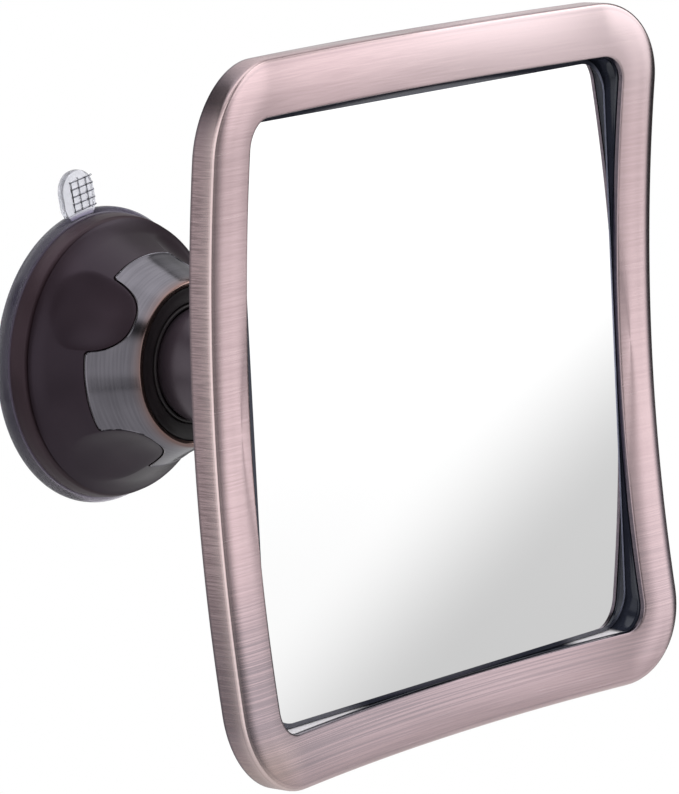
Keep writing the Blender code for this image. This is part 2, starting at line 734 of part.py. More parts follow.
def build_dish(base, black):
    """Build the dish with its well, and the ring at the well's mouth."""
    edge = CROWN_BORE - GAP
    middle = WELL_STEP + GAP + DUST_RING_SECTION
    ring = clear_of_ball(DUST_RING_RADIUS - DUST_RING_SECTION, middle) + DUST_RING_SECTION
    rebate = ring + DUST_RING_SECTION + GAP
    mouth = clear_of_ball(WELL_MOUTH, WELL_STEP)
    belly = clear_of_ball(WELL_BELLY, WELL_BELLY_DEPTH)
    floor = clear_of_ball(WELL_FLOOR_RADIUS, DISH_FLOOR)
    profile = [
        (edge, DISH_FRONT),
        (edge, DISH_FRONT - DISH_EDGE),
        (mouth + DISH_WALL + GAP, WELL_STEP - DISH_WALL / 2.0),
        (belly + DISH_WALL, WELL_BELLY_DEPTH),
        (floor + DISH_WALL / 2.0, DISH_BACK),
        (NECK_RADIUS + GAP, DISH_BACK),
        (NECK_RADIUS + GAP, DISH_FLOOR),
        (floor, DISH_FLOOR),
        (belly, WELL_BELLY_DEPTH),
        (mouth, WELL_STEP),
        (rebate, WELL_STEP),
        (rebate, WELL_STEP + DISH_LIP_RISE),
    ]
    dish = turned("dish", profile, black, base)
    section = []
    for k in range(SPRING_SIDES):
        angle = 2.0 * pi * k / SPRING_SIDES
        radius = ring + DUST_RING_SECTION * cos(angle)
        section.append((radius, middle + DUST_RING_SECTION * sin(angle)))
    turned("dust_ring", section, black, base)
    return dish


def build_ball_stud(base, steel):
    """Build the fixed ball on its neck and flange."""
    neck = asin(NECK_RADIUS / BALL_RADIUS)
    profile = [
        (0.0, FLANGE_BACK),
        (FLANGE_RADIUS, FLANGE_BACK),
        (FLANGE_RADIUS, FLANGE_FRONT),
        (NECK_RADIUS, FLANGE_FRONT),
    ]
    profile += ball_arc(BALL_RADIUS, neck, pi, 2 * ARC_STEPS)[:-1]
    profile.append((0.0, BALL_DEPTH + BALL_RADIUS))
    return turned("ball_stud", profile, steel, base, SMALL_STEPS)


def screw_profile(start, seat, shank, head, head_height):
    """Return a screw's section: a shank from start to seat, then its head beyond."""
    away = 1.0 if seat > start else -1.0
    crown = seat + away * head_height
    brim = seat + away * head_height / 2.0
    return [(0.0, start), (shank, start), (shank, seat), (head, seat), (head, brim),
            (head - head_height / 2.0, crown), (0.0, crown)]


def build_socket_screws(base, steel, cut_pieces):
    """Build the screws that hold the ball's flange and the dish on the hub, with their holes."""
    centres = circle_centres(SOCKET_SCREW_COUNT, SOCKET_SCREW_CIRCLE, SOCKET_SCREW_FIRST_DEG)
    head_seat = FLANGE_FRONT - SOCKET_SCREW_HEAD - GAP
    start = head_seat - SOCKET_SCREW_LENGTH
    profile = screw_profile(
        start, head_seat, SOCKET_SCREW_RADIUS, SOCKET_SCREW_HEAD_RADIUS, SOCKET_SCREW_HEAD)
    turned_copies("socket_screw", profile, centres, steel, base)
    bore = SOCKET_SCREW_RADIUS + GAP
    wide = SOCKET_SCREW_HEAD_RADIUS + GAP
    tool = [(0.0, start - GAP), (bore, start - GAP), (bore, head_seat - GAP),
            (wide, head_seat - GAP), (wide, FLANGE_FRONT + CUT_OVERRUN),
            (0.0, FLANGE_FRONT + CUT_OVERRUN)]
    cutter = round_tool("socket_screw_holes", tool, centres)
    for piece in cut_pieces:
        use_boolean(piece, cutter)


def build_ball_shell(seat, arm, nylon, dark):
    """Build the friction cup round the ball, and the hollow ball round the cup."""
    opening = radians(SEAT_OPENING_DEG)
    profile = [(0.0, BALL_DEPTH + SEAT_OUTER)]
    profile += ball_arc(SEAT_OUTER, pi, opening, 2 * ARC_STEPS)[1:]
    profile += ball_arc(SEAT_INNER, opening, pi, 2 * ARC_STEPS)[:-1]
    profile.append((0.0, BALL_DEPTH + SEAT_INNER))
    turned("ball_seat", profile, nylon, seat, SMALL_STEPS)
    seam_outer = acos((BALL_DEPTH - SHELL_SEAM) / SKIRT_INNER)
    seam_inner = acos((BALL_DEPTH - SHELL_SEAM) / SHELL_INNER)
    skirt = radians(SHELL_SKIRT_DEG)
    neck = pi - asin(SHELL_NECK_RADIUS / SHELL_RADIUS)
    bore = pi - asin(SPIGOT_BORE / SHELL_INNER)
    profile = ball_arc(SHELL_INNER, seam_inner, bore)
    profile.append((SPIGOT_BORE, SHELL_NECK_END))
    profile.append((SHELL_NECK_RADIUS - GAP, SHELL_NECK_END))
    profile.append((SHELL_NECK_RADIUS, SHELL_NECK_END - GAP))
    profile += ball_arc(SHELL_RADIUS, neck, skirt)
    profile += ball_arc(SKIRT_INNER, skirt, seam_outer, 2)
    shell = turned("ball_housing", profile, dark, arm)
    back = SHELL_SEAM - GAP
    opening = radians(RING_OPENING_DEG)
    outer = acos((BALL_DEPTH - back) / RING_RADIUS)
    inner = acos((BALL_DEPTH - back) / SHELL_INNER)
    profile = ball_arc(RING_RADIUS, opening, outer, 2) + ball_arc(SHELL_INNER, inner, opening, 2)
    turned("housing_ring", profile, dark, arm)
    return shell


def build_arm(body, plated, steel, nylon, shell):
    """Build the arm, its grub screw, the swivel screw and their washers."""
    pilot = SWIVEL_SCREW_RADIUS + GAP
    pilot_end = SCREW_SEAT - SWIVEL_SCREW_LENGTH - GAP
    profile = [
        (0.0, ARM_BACK),
        (SPIGOT_RADIUS, ARM_BACK),
        (SPIGOT_RADIUS, SHELL_NECK_END + GAP),
        (ARM_RADIUS, SHELL_NECK_END + GAP),
        (ARM_RADIUS, ARM_FLANGE_BACK - ARM_FLARE),
        (ARM_FLANGE_RADIUS, ARM_FLANGE_BACK),
        (ARM_FLANGE_RADIUS, ARM_FLANGE_FRONT),
        (SPIGOT_RADIUS, ARM_FLANGE_FRONT),
        (SPIGOT_RADIUS, SPIGOT_END),
        (pilot, SPIGOT_END),
        (pilot, pilot_end),
        (0.0, pilot_end),
    ]
    arm = turned("arm", profile, plated, body, SMALL_STEPS)
    depth = SHELL_NECK_END - ARM_SCREW_SETBACK
    screw = bmesh.new()
    inner = Vector((0.0, -depth, -ARM_SCREW_INNER))
    add_rod(screw, inner, Vector((0.0, -depth, -ARM_SCREW_OUTER)), ARM_SCREW_RADIUS)
    finish("arm_screw", screw, steel, body)
    hole = bmesh.new()
    outer = Vector((0.0, -depth, -SHELL_NECK_RADIUS - CUT_OVERRUN))
    add_rod(hole, inner + Vector((0.0, 0.0, GAP)), outer, ARM_SCREW_RADIUS + GAP)
    cutter = make_cutter("arm_screw_hole", hole)
    use_boolean(arm, cutter)
    use_boolean(shell, cutter)
    washer_back = ARM_FLANGE_FRONT + GAP
    washer = [(SPIGOT_BORE, washer_back), (ARM_FLANGE_RADIUS, washer_back),
              (ARM_FLANGE_RADIUS, washer_back + FRICTION_WASHER),
              (SPIGOT_BORE, washer_back + FRICTION_WASHER)]
    turned("friction_washer", washer, nylon, body, SMALL_STEPS)
    rim = COUNTERBORE_RADIUS - GAP - GAP
    washer = [(SPRING_WASHER_BORE, WASHER_SEAT), (rim, WASHER_SEAT),
              (rim, WASHER_SEAT + SPRING_WASHER_THICKNESS),
              (SPRING_WASHER_BORE, WASHER_SEAT + SPRING_WASHER_THICKNESS)]
    turned("spring_washer", washer, steel, body, SMALL_STEPS)
    profile = screw_profile(
        SCREW_SEAT - SWIVEL_SCREW_LENGTH, SCREW_SEAT, SWIVEL_SCREW_RADIUS,
        SWIVEL_SCREW_HEAD_RADIUS, SWIVEL_SCREW_HEAD)
    turned("swivel_screw", profile, steel, body, SMALL_STEPS)


def build_back_mount(head, black, steel, cover):
    """Build the swivel mount on the head's back and its screws, with their holes."""
    profile = [
        (SPIGOT_BORE, COLLAR_BACK),
        (COLLAR_RADIUS - MOUNT_CHAMFER, COLLAR_BACK),
        (COLLAR_RADIUS, COLLAR_BACK + MOUNT_CHAMFER),
        (COLLAR_RADIUS, MOUNT_BACK),
        (MOUNT_RADIUS - MOUNT_CHAMFER, MOUNT_BACK),
        (MOUNT_RADIUS, MOUNT_BACK + MOUNT_CHAMFER),
        (MOUNT_RADIUS, MOUNT_FRONT),
        (COUNTERBORE_RADIUS, MOUNT_FRONT),
        (COUNTERBORE_RADIUS, COUNTERBORE_FLOOR),
        (SPIGOT_BORE, COUNTERBORE_FLOOR),
    ]
    mount = turned("back_mount", profile, black, head)
    centres = circle_centres(MOUNT_SCREW_COUNT, MOUNT_SCREW_CIRCLE, 45.0)
    boss_end = HEAD_DEPTH + COVER_INSIDE + MOUNT_BOSS_HEIGHT
    bosses = [(0.0, COVER_OUTSIDE + GAP), (MOUNT_BOSS_RADIUS, COVER_OUTSIDE + GAP),
              (MOUNT_BOSS_RADIUS, boss_end), (0.0, boss_end)]
    use_boolean(cover, round_tool("mount_bosses", bosses, centres), "UNION")
    seat = MOUNT_BACK - GAP
    profile = screw_profile(
        boss_end, seat, MOUNT_SCREW_RADIUS, MOUNT_SCREW_HEAD_RADIUS, MOUNT_SCREW_HEAD)
    turned_copies("mount_screw", profile, centres, steel, head)
    bore = MOUNT_SCREW_RADIUS + GAP
    tool = [(0.0, seat - CUT_OVERRUN), (bore, seat - CUT_OVERRUN),
            (bore, boss_end + CUT_OVERRUN), (0.0, boss_end + CUT_OVERRUN)]
    cutter = round_tool("mount_screw_holes", tool, centres)
    use_boolean(mount, cutter)
    use_boolean(cover, cutter)


def build_bezel(head, copper):
    """Build the frame, a pressed shell with a side wall and a domed face."""
    rings = [
        head_ring(0.0, HEAD_CORNER, 1.0, -SIDE_WALL),
        head_ring(0.0, HEAD_CORNER, 1.0, -CREASE_ROUND),
    ]
    corner_cut = CREASE_ROUND * CREASE_ROUND_SHARE
    rings.append(head_ring(corner_cut, frame_corner(corner_cut), 1.0, -corner_cut))
    top = FACE_MARGIN - EDGE_ROUND
    insets = [CREASE_ROUND + (top - CREASE_ROUND) * k / FACE_ROWS for k in range(FACE_ROWS + 1)]
    rings += [head_ring(a, frame_corner(a), 1.0, face_level(a)) for a in insets]
    rings.append(head_ring(FACE_MARGIN, OPENING_CORNER, 1.0, FACE_RISE - EDGE_ROUND))
    rings.append(head_ring(FACE_MARGIN, OPENING_CORNER, 1.0, FACE_RISE - SHEET))
    for a in insets[-2:0:-1]:
        rings.append(head_ring(a, frame_corner(a), 1.0, face_level(a) - SHEET))
    rings.append(head_ring(SHEET, frame_corner(SHEET), 1.0, -SHEET))
    rings.append(head_ring(SHEET, frame_corner(SHEET), 1.0, -SIDE_WALL))
    lofted("bezel", rings, copper, head)


def build_liner(head, black):
    """Build the liner: a wall round the pane's recess and a ledge under the pane's edge."""
    outer = FACE_MARGIN - LINER_WALL
    ledge = FACE_MARGIN + LEDGE_WIDTH
    under = FACE_RISE - SHEET - GAP
    rings = [
        head_ring(FACE_MARGIN, OPENING_CORNER, 1.0, under),
        head_ring(FACE_MARGIN, LEDGE_CORNER, 0.0, LEDGE_FRONT),
        head_ring(ledge, LEDGE_CORNER - LEDGE_WIDTH, 0.0, LEDGE_FRONT),
        head_ring(ledge, LEDGE_CORNER - LEDGE_WIDTH, 0.0, LEDGE_BACK),
        head_ring(outer, LEDGE_CORNER, 0.0, LEDGE_BACK),
        head_ring(outer, frame_corner(outer), 1.0, face_level(outer) - SHEET - GAP),
    ]
    lofted("liner", rings, black, head)


def build_pane(head, mirror):
    """Build the flat mirror with its ground edge."""
    rings = [
        head_ring(PANE_INSET, PANE_CORNER, 0.0, PANE_BACK),
        head_ring(PANE_INSET, PANE_CORNER, 0.0, PANE_FRONT - PANE_BEVEL),
        head_ring(PANE_INSET + PANE_BEVEL, PANE_CORNER - PANE_BEVEL, 0.0, PANE_FRONT),
    ]
    lofted("mirror_pane", rings, mirror, head, closed=False)


def post_centres():
    """Return the centres of the board's posts."""
    return [(x * POST_ACROSS, z * POST_UP) for x in (-1, 1) for z in (-1, 1)]


def build_board(head, grey, foam):
    """Build the board behind the pane with its posts, and the tape between board and pane."""
    rings = [
        head_ring(BOARD_INSET, BOARD_CORNER, 0.0, BOARD_BACK),
        head_ring(BOARD_INSET, BOARD_CORNER, 0.0, BOARD_FRONT),
    ]
    board = lofted("backing_board", rings, grey, head, closed=False)
    foot = HEAD_DEPTH + COVER_INSIDE + GAP
    inside = HEAD_DEPTH + (BOARD_BACK + BOARD_FRONT) / 2.0
    posts = [(0.0, foot), (POST_RADIUS, foot), (POST_RADIUS, inside), (0.0, inside)]
    use_boolean(board, round_tool("board_posts", posts, post_centres()), "UNION")
    tape = bmesh.new()
    back = HEAD_DEPTH + BOARD_FRONT + GAP
    front = HEAD_DEPTH + PANE_BACK - GAP
    low = Vector((-TAPE_WIDTH / 2.0, -front, -TAPE_HEIGHT / 2.0))
    add_box(tape, low, Vector((TAPE_WIDTH / 2.0, -back, TAPE_HEIGHT / 2.0)))
    mesh = finished_mesh("pane_tape", tape, foam, head.location)
    for k in range(TAPE_COUNT):
        place(f"pane_tape_{k + 1}", mesh, head, (0.0, 0.0, TAPE_PITCH * (k - TAPE_COUNT // 2)))
    return board


def build_back_cover(head, black):
    """Build the tray that closes the head's back."""
    rim = SHEET + GAP
    outside = [head_ring(rim, frame_corner(rim), 1.0, -COVER_RIM_LEVEL)]
    inside = [head_ring(rim + COVER_WALL, frame_corner(rim + COVER_WALL), 1.0, -COVER_RIM_LEVEL)]
    for k in range(COVER_ROWS + 1):
        share = k / COVER_ROWS
        inset = rim + (COVER_FLAT_INSET - rim) * share
        corner = frame_corner(rim) + (COVER_FLAT_CORNER - frame_corner(rim)) * share
        level = -COVER_RIM_FOOT - (COVER_BACK - COVER_RIM_FOOT) * share
        outside.append(head_ring(inset, corner, 1.0 - share, level))
        inside.append(head_ring(
            inset + COVER_WALL, corner, 1.0 - share, level + COVER_WALL))
    return lofted("back_cover", outside[::-1] + inside, black, head, closed=False)


def build_cover_screws(head, steel, cut_pieces):
    """Build the screws from the cover into the board's posts, with their holes."""
    outside = HEAD_DEPTH - COVER_BACK
    seat = outside - GAP
    end = seat + COVER_SCREW_LENGTH
    profile = screw_profile(
        end, seat, COVER_SCREW_RADIUS, COVER_SCREW_HEAD_RADIUS, COVER_SCREW_HEAD)
    turned_copies("cover_screw", profile, post_centres(), steel, head)
    bore = COVER_SCREW_RADIUS + GAP
    tool = [(0.0, outside - CUT_OVERRUN), (bore, outside - CUT_OVERRUN), (bore, end + GAP),
            (0.0, end + GAP)]
    cutter = round_tool("cover_screw_holes", tool, post_centres())
    for piece in cut_pieces:
        use_boolean(piece, cutter)


def build_thrust_washer(base, nylon):
    """Build the washer between the base housing and the knob."""
    front = WASHER_BACK + WASHER_THICKNESS
    profile = [(WASHER_INNER, WASHER_BACK), (WASHER_OUTER, WASHER_BACK), (WASHER_OUTER, front),
               (WASHER_INNER, front)]
    turned("thrust_washer", profile, nylon, base)


def main():
    for thing in list(bpy.data.objects):
        bpy.data.objects.remove(thing)
    clear = principled("clear soft plastic", (0.62, 0.66, 0.74), 0.08, transmission=0.8)
    dark = principled("dark brown plastic", (0.045, 0.035, 0.038), 0.45)
    black = principled("black plastic", (0.012, 0.011, 0.013), 0.25)
    gunmetal = principled("gunmetal plating", (0.22, 0.22, 0.24), 0.22, metallic=1.0)
    copper = principled("brushed rose copper", (0.62, 0.48, 0.47), 0.32, metallic=1.0)
    steel = principled("steel", (0.55, 0.55, 0.56), 0.28, metallic=1.0)
    brass = principled("brass", (0.62, 0.46, 0.20), 0.30, metallic=1.0)
    nylon = principled("white nylon", (0.78, 0.78, 0.74), 0.50)
    mirror = principled("silvered glass", (0.90, 0.92, 0.92), 0.02, metallic=1.0)
    grey = principled("grey board", (0.30, 0.30, 0.31), 0.60)
    foam = principled("foam tape", (0.85, 0.85, 0.82), 0.90)
    base = moving_frame("base_frame", 0.0)
    knob = moving_frame("knob_frame", 0.0)
    stud = moving_frame("stud_frame", 0.0)
    seat = moving_frame("seat_frame", BALL_DEPTH)
    arm = moving_frame("arm_frame", BALL_DEPTH)
    head = moving_frame("head_frame", HEAD_DEPTH)
    build_suction_disc(base, clear)
    build_draw_parts(base, stud, steel, brass)
    housing = build_base_housing(base, dark)
    build_thrust_washer(base, nylon)
    build_knob(knob, dark, gunmetal)
    dish = build_dish(base, black)
    ball_stud = build_ball_stud(base, steel)
    build_socket_screws(base, steel, (housing, dish, ball_stud))
    shell = build_ball_shell(seat, arm, nylon, dark)
    build_arm(arm, gunmetal, steel, nylon, shell)
    cover = build_back_cover(head, black)
    build_back_mount(head, black, steel, cover)
    board = build_board(head, grey, foam)
    build_cover_screws(head, steel, (cover, board))
    build_liner(head, black)
    build_pane(head, mirror)
    build_bezel(head, copper)


main()
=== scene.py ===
"""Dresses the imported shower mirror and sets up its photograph.

Everything is in metres. The wall is the plane y = 0 and the mirror faces -Y, with Z up. A depth
is a distance from the wall. A level is a distance in front of the depth where the frame's crease
would be at the head's middle. A corner of a section is its radius, its depth and its fillet, and
CRISP, EASED, SOFT and ROUND are the usual fillets of moulded and turned edges.
"""

import logging
from dataclasses import dataclass
from enum import Enum
from math import acos, asin, cos, degrees, pi, radians, sin
from typing import Callable, Optional, Sequence, Union

import bmesh
import bpy
from mathutils import Matrix, Vector


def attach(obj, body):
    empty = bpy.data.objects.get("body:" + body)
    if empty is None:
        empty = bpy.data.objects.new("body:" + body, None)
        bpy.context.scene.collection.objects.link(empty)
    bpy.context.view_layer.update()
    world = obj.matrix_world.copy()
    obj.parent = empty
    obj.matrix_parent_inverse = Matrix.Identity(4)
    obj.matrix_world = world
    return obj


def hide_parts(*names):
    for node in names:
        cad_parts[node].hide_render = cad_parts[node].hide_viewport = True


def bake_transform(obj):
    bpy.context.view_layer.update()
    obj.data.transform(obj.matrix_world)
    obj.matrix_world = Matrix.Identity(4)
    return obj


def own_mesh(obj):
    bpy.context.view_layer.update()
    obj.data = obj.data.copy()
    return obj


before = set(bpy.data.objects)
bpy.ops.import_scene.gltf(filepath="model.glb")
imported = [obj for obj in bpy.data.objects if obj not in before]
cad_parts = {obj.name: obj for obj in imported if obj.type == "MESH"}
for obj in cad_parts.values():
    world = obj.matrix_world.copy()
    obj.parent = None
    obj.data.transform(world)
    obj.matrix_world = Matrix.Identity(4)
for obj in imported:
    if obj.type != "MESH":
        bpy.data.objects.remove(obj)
LOG = logging.getLogger("shower_mirror")

Triple = tuple[float, float, float]
Colour = Triple
Span = tuple[float, float]
Section = list[Span]
Ring = list[Vector]
Point = tuple[float, float, float, float]

SHARP_EDGE_DEG = 32.0
WELD_DISTANCE = 1e-6
CRISP, EASED, SOFT, ROUND = 0.0002, 0.0003, 0.0004, 0.0006
# A Mix node has sockets of the same names for numbers, so those for colours go by index.
MIX_SHARE, MIX_FIRST, MIX_SECOND, MIX_RESULT = 0, 6, 7, 2


class Wire:
    """An output of a shader node that takes part in Python expressions."""

    def __init__(self, graph: "Graph", socket: bpy.types.NodeSocket) -> None:
        """Wrap a node's output, in the graph that new nodes are added to."""
        self.graph = graph
        self.socket = socket

    def __add__(self, other: "Value") -> "Wire":
        """Return the sum."""
        return self.graph.math("ADD", self, other)

    def __radd__(self, other: "Value") -> "Wire":
        """Return the sum, from the right."""
        return self.graph.math("ADD", other, self)

    def __sub__(self, other: "Value") -> "Wire":
        """Return the difference."""
        return self.graph.math("SUBTRACT", self, other)

    def __rsub__(self, other: "Value") -> "Wire":
        """Return the difference, from the right."""
        return self.graph.math("SUBTRACT", other, self)

    def __mul__(self, other: "Value") -> "Wire":
        """Return the product."""
        return self.graph.math("MULTIPLY", self, other)

    def __rmul__(self, other: "Value") -> "Wire":
        """Return the product, from the right."""
        return self.graph.math("MULTIPLY", other, self)

    def __pow__(self, other: "Value") -> "Wire":
        """Return this value raised to a power."""
        return self.graph.math("POWER", self, other)

    def __rpow__(self, other: "Value") -> "Wire":
        """Return the other value raised to this power."""
        return self.graph.math("POWER", other, self)

    def between(self, low: float, high: float) -> "Wire":
        """Return a smooth step from 0 at low to 1 at high.

        Args:
            low: The value where the step starts.
            high: The value where the step ends.

        Returns:
            The step, kept from 0 to 1.
        """
        inputs = {"Value": self, "From Min": low, "From Max": high}
        return self.graph.node(
            "ShaderNodeMapRange", {"interpolation_type": "SMOOTHSTEP"}, inputs)


Value = Union[Wire, float]


class Graph:
    """A node tree that finishes and the world are written in."""

    def __init__(self, tree: bpy.types.NodeTree) -> None:
        """Take over a node tree."""
        self.tree = tree

    def node(self, kind: str, settings: dict, inputs: dict, output: Union[int, str] = 0) -> Wire:
        """Add a node.

        Args:
            kind: The node's type.
            settings: Its properties, set before its sockets.
            inputs: A value or a wire for each socket, by name or index.
            output: The output to return, by name or index.

        Returns:
            The wire of that output.
        """
        made = self.tree.nodes.new(kind)
        for name, setting in settings.items():
            setattr(made, name, setting)
        for key, value in inputs.items():
            socket = made.inputs[key]
            if isinstance(value, Wire):
                self.tree.links.new(value.socket, socket)
            else:
                socket.default_value = value
        return Wire(self, made.outputs[output])

    def math(self, operation: str, *operands: Value) -> Wire:
        """Add a Math node and return its result."""
        inputs = dict(enumerate(operands))
        return self.node("ShaderNodeMath", {"operation": operation}, inputs)

    def mix(self, share: Value, first: Union[Wire, Colour], second: Union[Wire, Colour]) -> Wire:
        """Mix two colours.

        Args:
            share: How much of the second colour shows.
            first: The first colour.
            second: The second colour.

        Returns:
            The mixed colour.
        """
        first, second = (c if isinstance(c, Wire) else (*c, 1.0) for c in (first, second))
        inputs = {MIX_SHARE: share, MIX_FIRST: first, MIX_SECOND: second}
        return self.node("ShaderNodeMix", {"data_type": "RGBA"}, inputs, MIX_RESULT)

    def position(self) -> Wire:
        """Return the place on the piece, in metres, which moves with the piece."""
        return self.node("ShaderNodeTexCoord", {}, {}, "Object")

    def along(self, axis: int) -> Wire:
        """Return the place along one of the piece's axes, in metres."""
        return self.node("ShaderNodeSeparateXYZ", {}, {0: self.position()}, axis)

    def path(self, name: str) -> Wire:
        """Return 1 on rays of a kind, and else 0."""
        return self.node("ShaderNodeLightPath", {}, {}, name)

    def noise(self, waves: Union[float, Triple], detail: float = 2.0) -> Wire:
        """Add noise over the piece.

        Args:
            waves: Waves per metre, along X, Y and Z where they differ.
            detail: How many finer layers it has.

        Returns:
            The noise, about 0.5 on average.
        """
        inputs = {0: self.position(), 1: waves if isinstance(waves, tuple) else (waves,) * 3}
        place = self.node("ShaderNodeVectorMath", {"operation": "MULTIPLY"}, inputs)
        inputs = {"Vector": place, "Scale": 1.0, "Detail": detail}
        return self.node("ShaderNodeTexNoise", {}, inputs, "Fac")

    def mask(self, name: str) -> Wire:
        """Return a value stored on the piece's points."""
        return self.node("ShaderNodeAttribute", {"attribute_name": name}, {}, "Fac")

    def facing(self, axis: int) -> Wire:
        """Return how far the surface faces along one of the piece's axes, either way."""
        normal = self.node("ShaderNodeTexCoord", {}, {}, "Normal")
        return self.math("ABSOLUTE", self.node("ShaderNodeSeparateXYZ", {}, {0: normal}, axis))

    def bump(self, height: Wire, depth: float) -> Wire:
        """Return a normal that follows a height of 0 to 1, with its real depth in metres."""
        inputs = {"Height": height, "Distance": depth}
        return self.node("ShaderNodeBump", {}, inputs, "Normal")


class Finish:
    """The base of every finish, which has a name and paints a graph."""

    name: str

    def material(self) -> bpy.types.Material:
        """Make the finish's material.

        Returns:
            The material.
        """
        material = bpy.data.materials.new(self.name)
        material.use_nodes = True
        self.paint(Graph(material.node_tree))
        return material

    def coat(self, graph: Graph, **sockets: Union[Wire, float, Sequence[float]]) -> None:
        """Set the surface shader.

        Args:
            graph: The material's graph.
            sockets: What each socket holds, with _ for each space in its name.
        """
        shader = graph.tree.nodes["Principled BSDF"]
        for name, value in sockets.items():
            socket = shader.inputs[name.replace("_", " ")]
            if isinstance(value, Wire):
                graph.tree.links.new(value.socket, socket)
            elif name.endswith("Color"):
                socket.default_value = (*value, 1.0)
            else:
                socket.default_value = value

    def paint(self, graph: Graph) -> None:
        """Write the finish's nodes."""
        raise NotImplementedError


@dataclass(frozen=True)
class BrushedCopper(Finish):
    """Antique rose copper plating, brushed from side to side.

    Most spans are places on the head, in metres across or up, where a shade fades in. The others
    are of noise, for its contrast, or of how far the surface faces along an axis. Light and shade
    are painted into the colour: a painted highlight on the top member, along the crease and on the
    front of the side walls, and painted shade on the bottom member, the bottom left corner, the
    side walls, the right member's outer band, the top left corner and the frame's rolled edges.
    """

    name: str = "brushed_rose_copper"
    pale: Colour = (0.745, 0.565, 0.585)
    deep: Colour = (0.60, 0.445, 0.465)
    worn_and_highlit: Colour = (0.93, 0.76, 0.74)
    painted_shade: Colour = (0.12, 0.105, 0.13)
    shaded_sides: Colour = (0.365, 0.27, 0.29)
    painted_foot_shade: Colour = (0.335, 0.272, 0.295)
    shaded_corner: Colour = (0.56, 0.42, 0.37)
    rubbed_and_top_lit: Colour = (0.82, 0.68, 0.70)
    streaks: Triple = (62.0, 110.0, 2400.0)
    long_streaks: Triple = (24.0, 40.0, 1200.0)
    foot_streaks: Triple = (15.0, 34.0, 3600.0)
    clouds: Triple = (16.0, 16.0, 26.0)
    groove_depth: float = 0.000008
    fine_contrast: Span = (0.74, 0.28)
    contrast: Span = (0.65, 0.35)
    foot_contrast: Span = (0.62, 0.38)
    side_shade_contrast: Span = (0.58, 0.34)
    cloud_detail: float = 1.0
    foot_detail: float = 3.0
    fine_tone: float = 0.5
    long_tone: float = 0.25
    cloud_tone: float = 0.2
    calm_loss: float = 0.5
    fine_share: float = 0.6
    long_share: float = 0.4
    top_light_share: float = 0.7
    shaded_corner_share: float = 0.6
    outer_share: float = 0.8
    shoulder_share: float = 0.72
    side_shade_share: float = 0.7
    foot_shade_share: float = 0.78
    foot_loss_across: float = 3.6
    foot_start: float = 0.62
    foot_swing: float = 0.6
    foot_edge_loss: float = 0.5
    edge_shade_start: float = 0.65
    edge_shade_swing: float = 0.5
    crease_highlight_share: float = 0.85
    highlight_loss_at_top: float = 0.65
    roughness: float = 0.22
    swing: float = 0.08
    stretch: float = 0.92
    quarter_turn: float = 0.25
    calm_side: Span = (0.050, 0.090)
    top_light_up: Span = (0.055, 0.100)
    top_light_across: Span = (-0.06, 0.05)
    foot_up: Span = (-0.020, -0.080)
    foot_edge: Span = (-0.090, -0.099)
    shaded_corner_across: Span = (-0.070, -0.090)
    shaded_corner_up: Span = (-0.080, -0.096)
    outer_edge: Span = (0.0928, 0.0958)
    shoulder_across: Span = (-0.074, -0.088)
    shoulder_up: Span = (0.070, 0.092)
    crease_top: Span = (0.080, 0.098)
    side_facing: Span = (0.45, 0.9)
    outer_facing: Span = (0.80, 0.95)
    shoulder_facing: Span = (0.55, 0.2)

    def paint(self, graph: Graph) -> None:
        """Write the finish's nodes.

        Args:
            graph: The material's graph.
        """
        fine, long = graph.noise(self.streaks), graph.noise(self.long_streaks)
        cloud = graph.noise(self.clouds, self.cloud_detail)
        streak = fine * self.fine_share + long * self.long_share
        across, up = graph.along(0), graph.along(2)
        calm = 1.0 - across.between(*self.calm_side) * self.calm_loss
        tone = fine.between(*self.fine_contrast) * self.fine_tone * calm
        tone = tone + long.between(*self.contrast) * self.long_tone
        tone = tone + cloud.between(*self.contrast) * self.cloud_tone
        base = graph.mix(tone, self.pale, self.deep)
        # Painted highlight: the top member is made lighter, as if lit from above.
        rubbed_and_top_lit = up.between(*self.top_light_up) * across.between(*self.top_light_across)
        base = graph.mix(rubbed_and_top_lit * self.top_light_share, base, self.rubbed_and_top_lit)
        # Painted shade: the bottom member is darker, more so to the left and less at its very
        # edge, broken by fine brush streaks.
        foot = up.between(*self.foot_up) * (self.foot_shade_share - across * self.foot_loss_across)
        brushed = graph.noise(self.foot_streaks, self.foot_detail)
        brushed = brushed.between(*self.foot_contrast)
        foot = foot * (self.foot_start + brushed * self.foot_swing)
        foot = foot * (1.0 - up.between(*self.foot_edge) * self.foot_edge_loss)
        base = graph.mix(foot, base, self.painted_foot_shade)
        # Painted shade: the bottom left corner is darker and browner.
        corner = across.between(*self.shaded_corner_across) * up.between(*self.shaded_corner_up)
        base = graph.mix(corner * self.shaded_corner_share, base, self.shaded_corner)
        # Painted shade: a dark band along the right member's outer edge and a dark patch on the
        # side wall at the top left corner.
        outer = across.between(*self.outer_edge)
        outer = outer * (1.0 - graph.facing(0).between(*self.outer_facing))
        shoulder = across.between(*self.shoulder_across) * up.between(*self.shoulder_up)
        shoulder = shoulder * graph.facing(1).between(*self.shoulder_facing)
        dark = outer * self.outer_share + shoulder * self.shoulder_share
        base = graph.mix(dark, base, self.painted_shade)
        # Painted shade: the side walls of the left and right members are darker, broken by the
        # brush streaks.
        sides = graph.facing(0).between(*self.side_facing) * fine.between(*self.side_shade_contrast)
        shaded_sides = graph.mix(sides * self.side_shade_share, base, self.shaded_sides)
        # Painted shade along the frame's rolled edges, from the mask that the bezel's rows carry.
        edge_shade = graph.mask("painted_shade") * (self.edge_shade_start + streak * self.edge_shade_swing)
        painted_shade = graph.mix(edge_shade, shaded_sides, self.painted_shade)
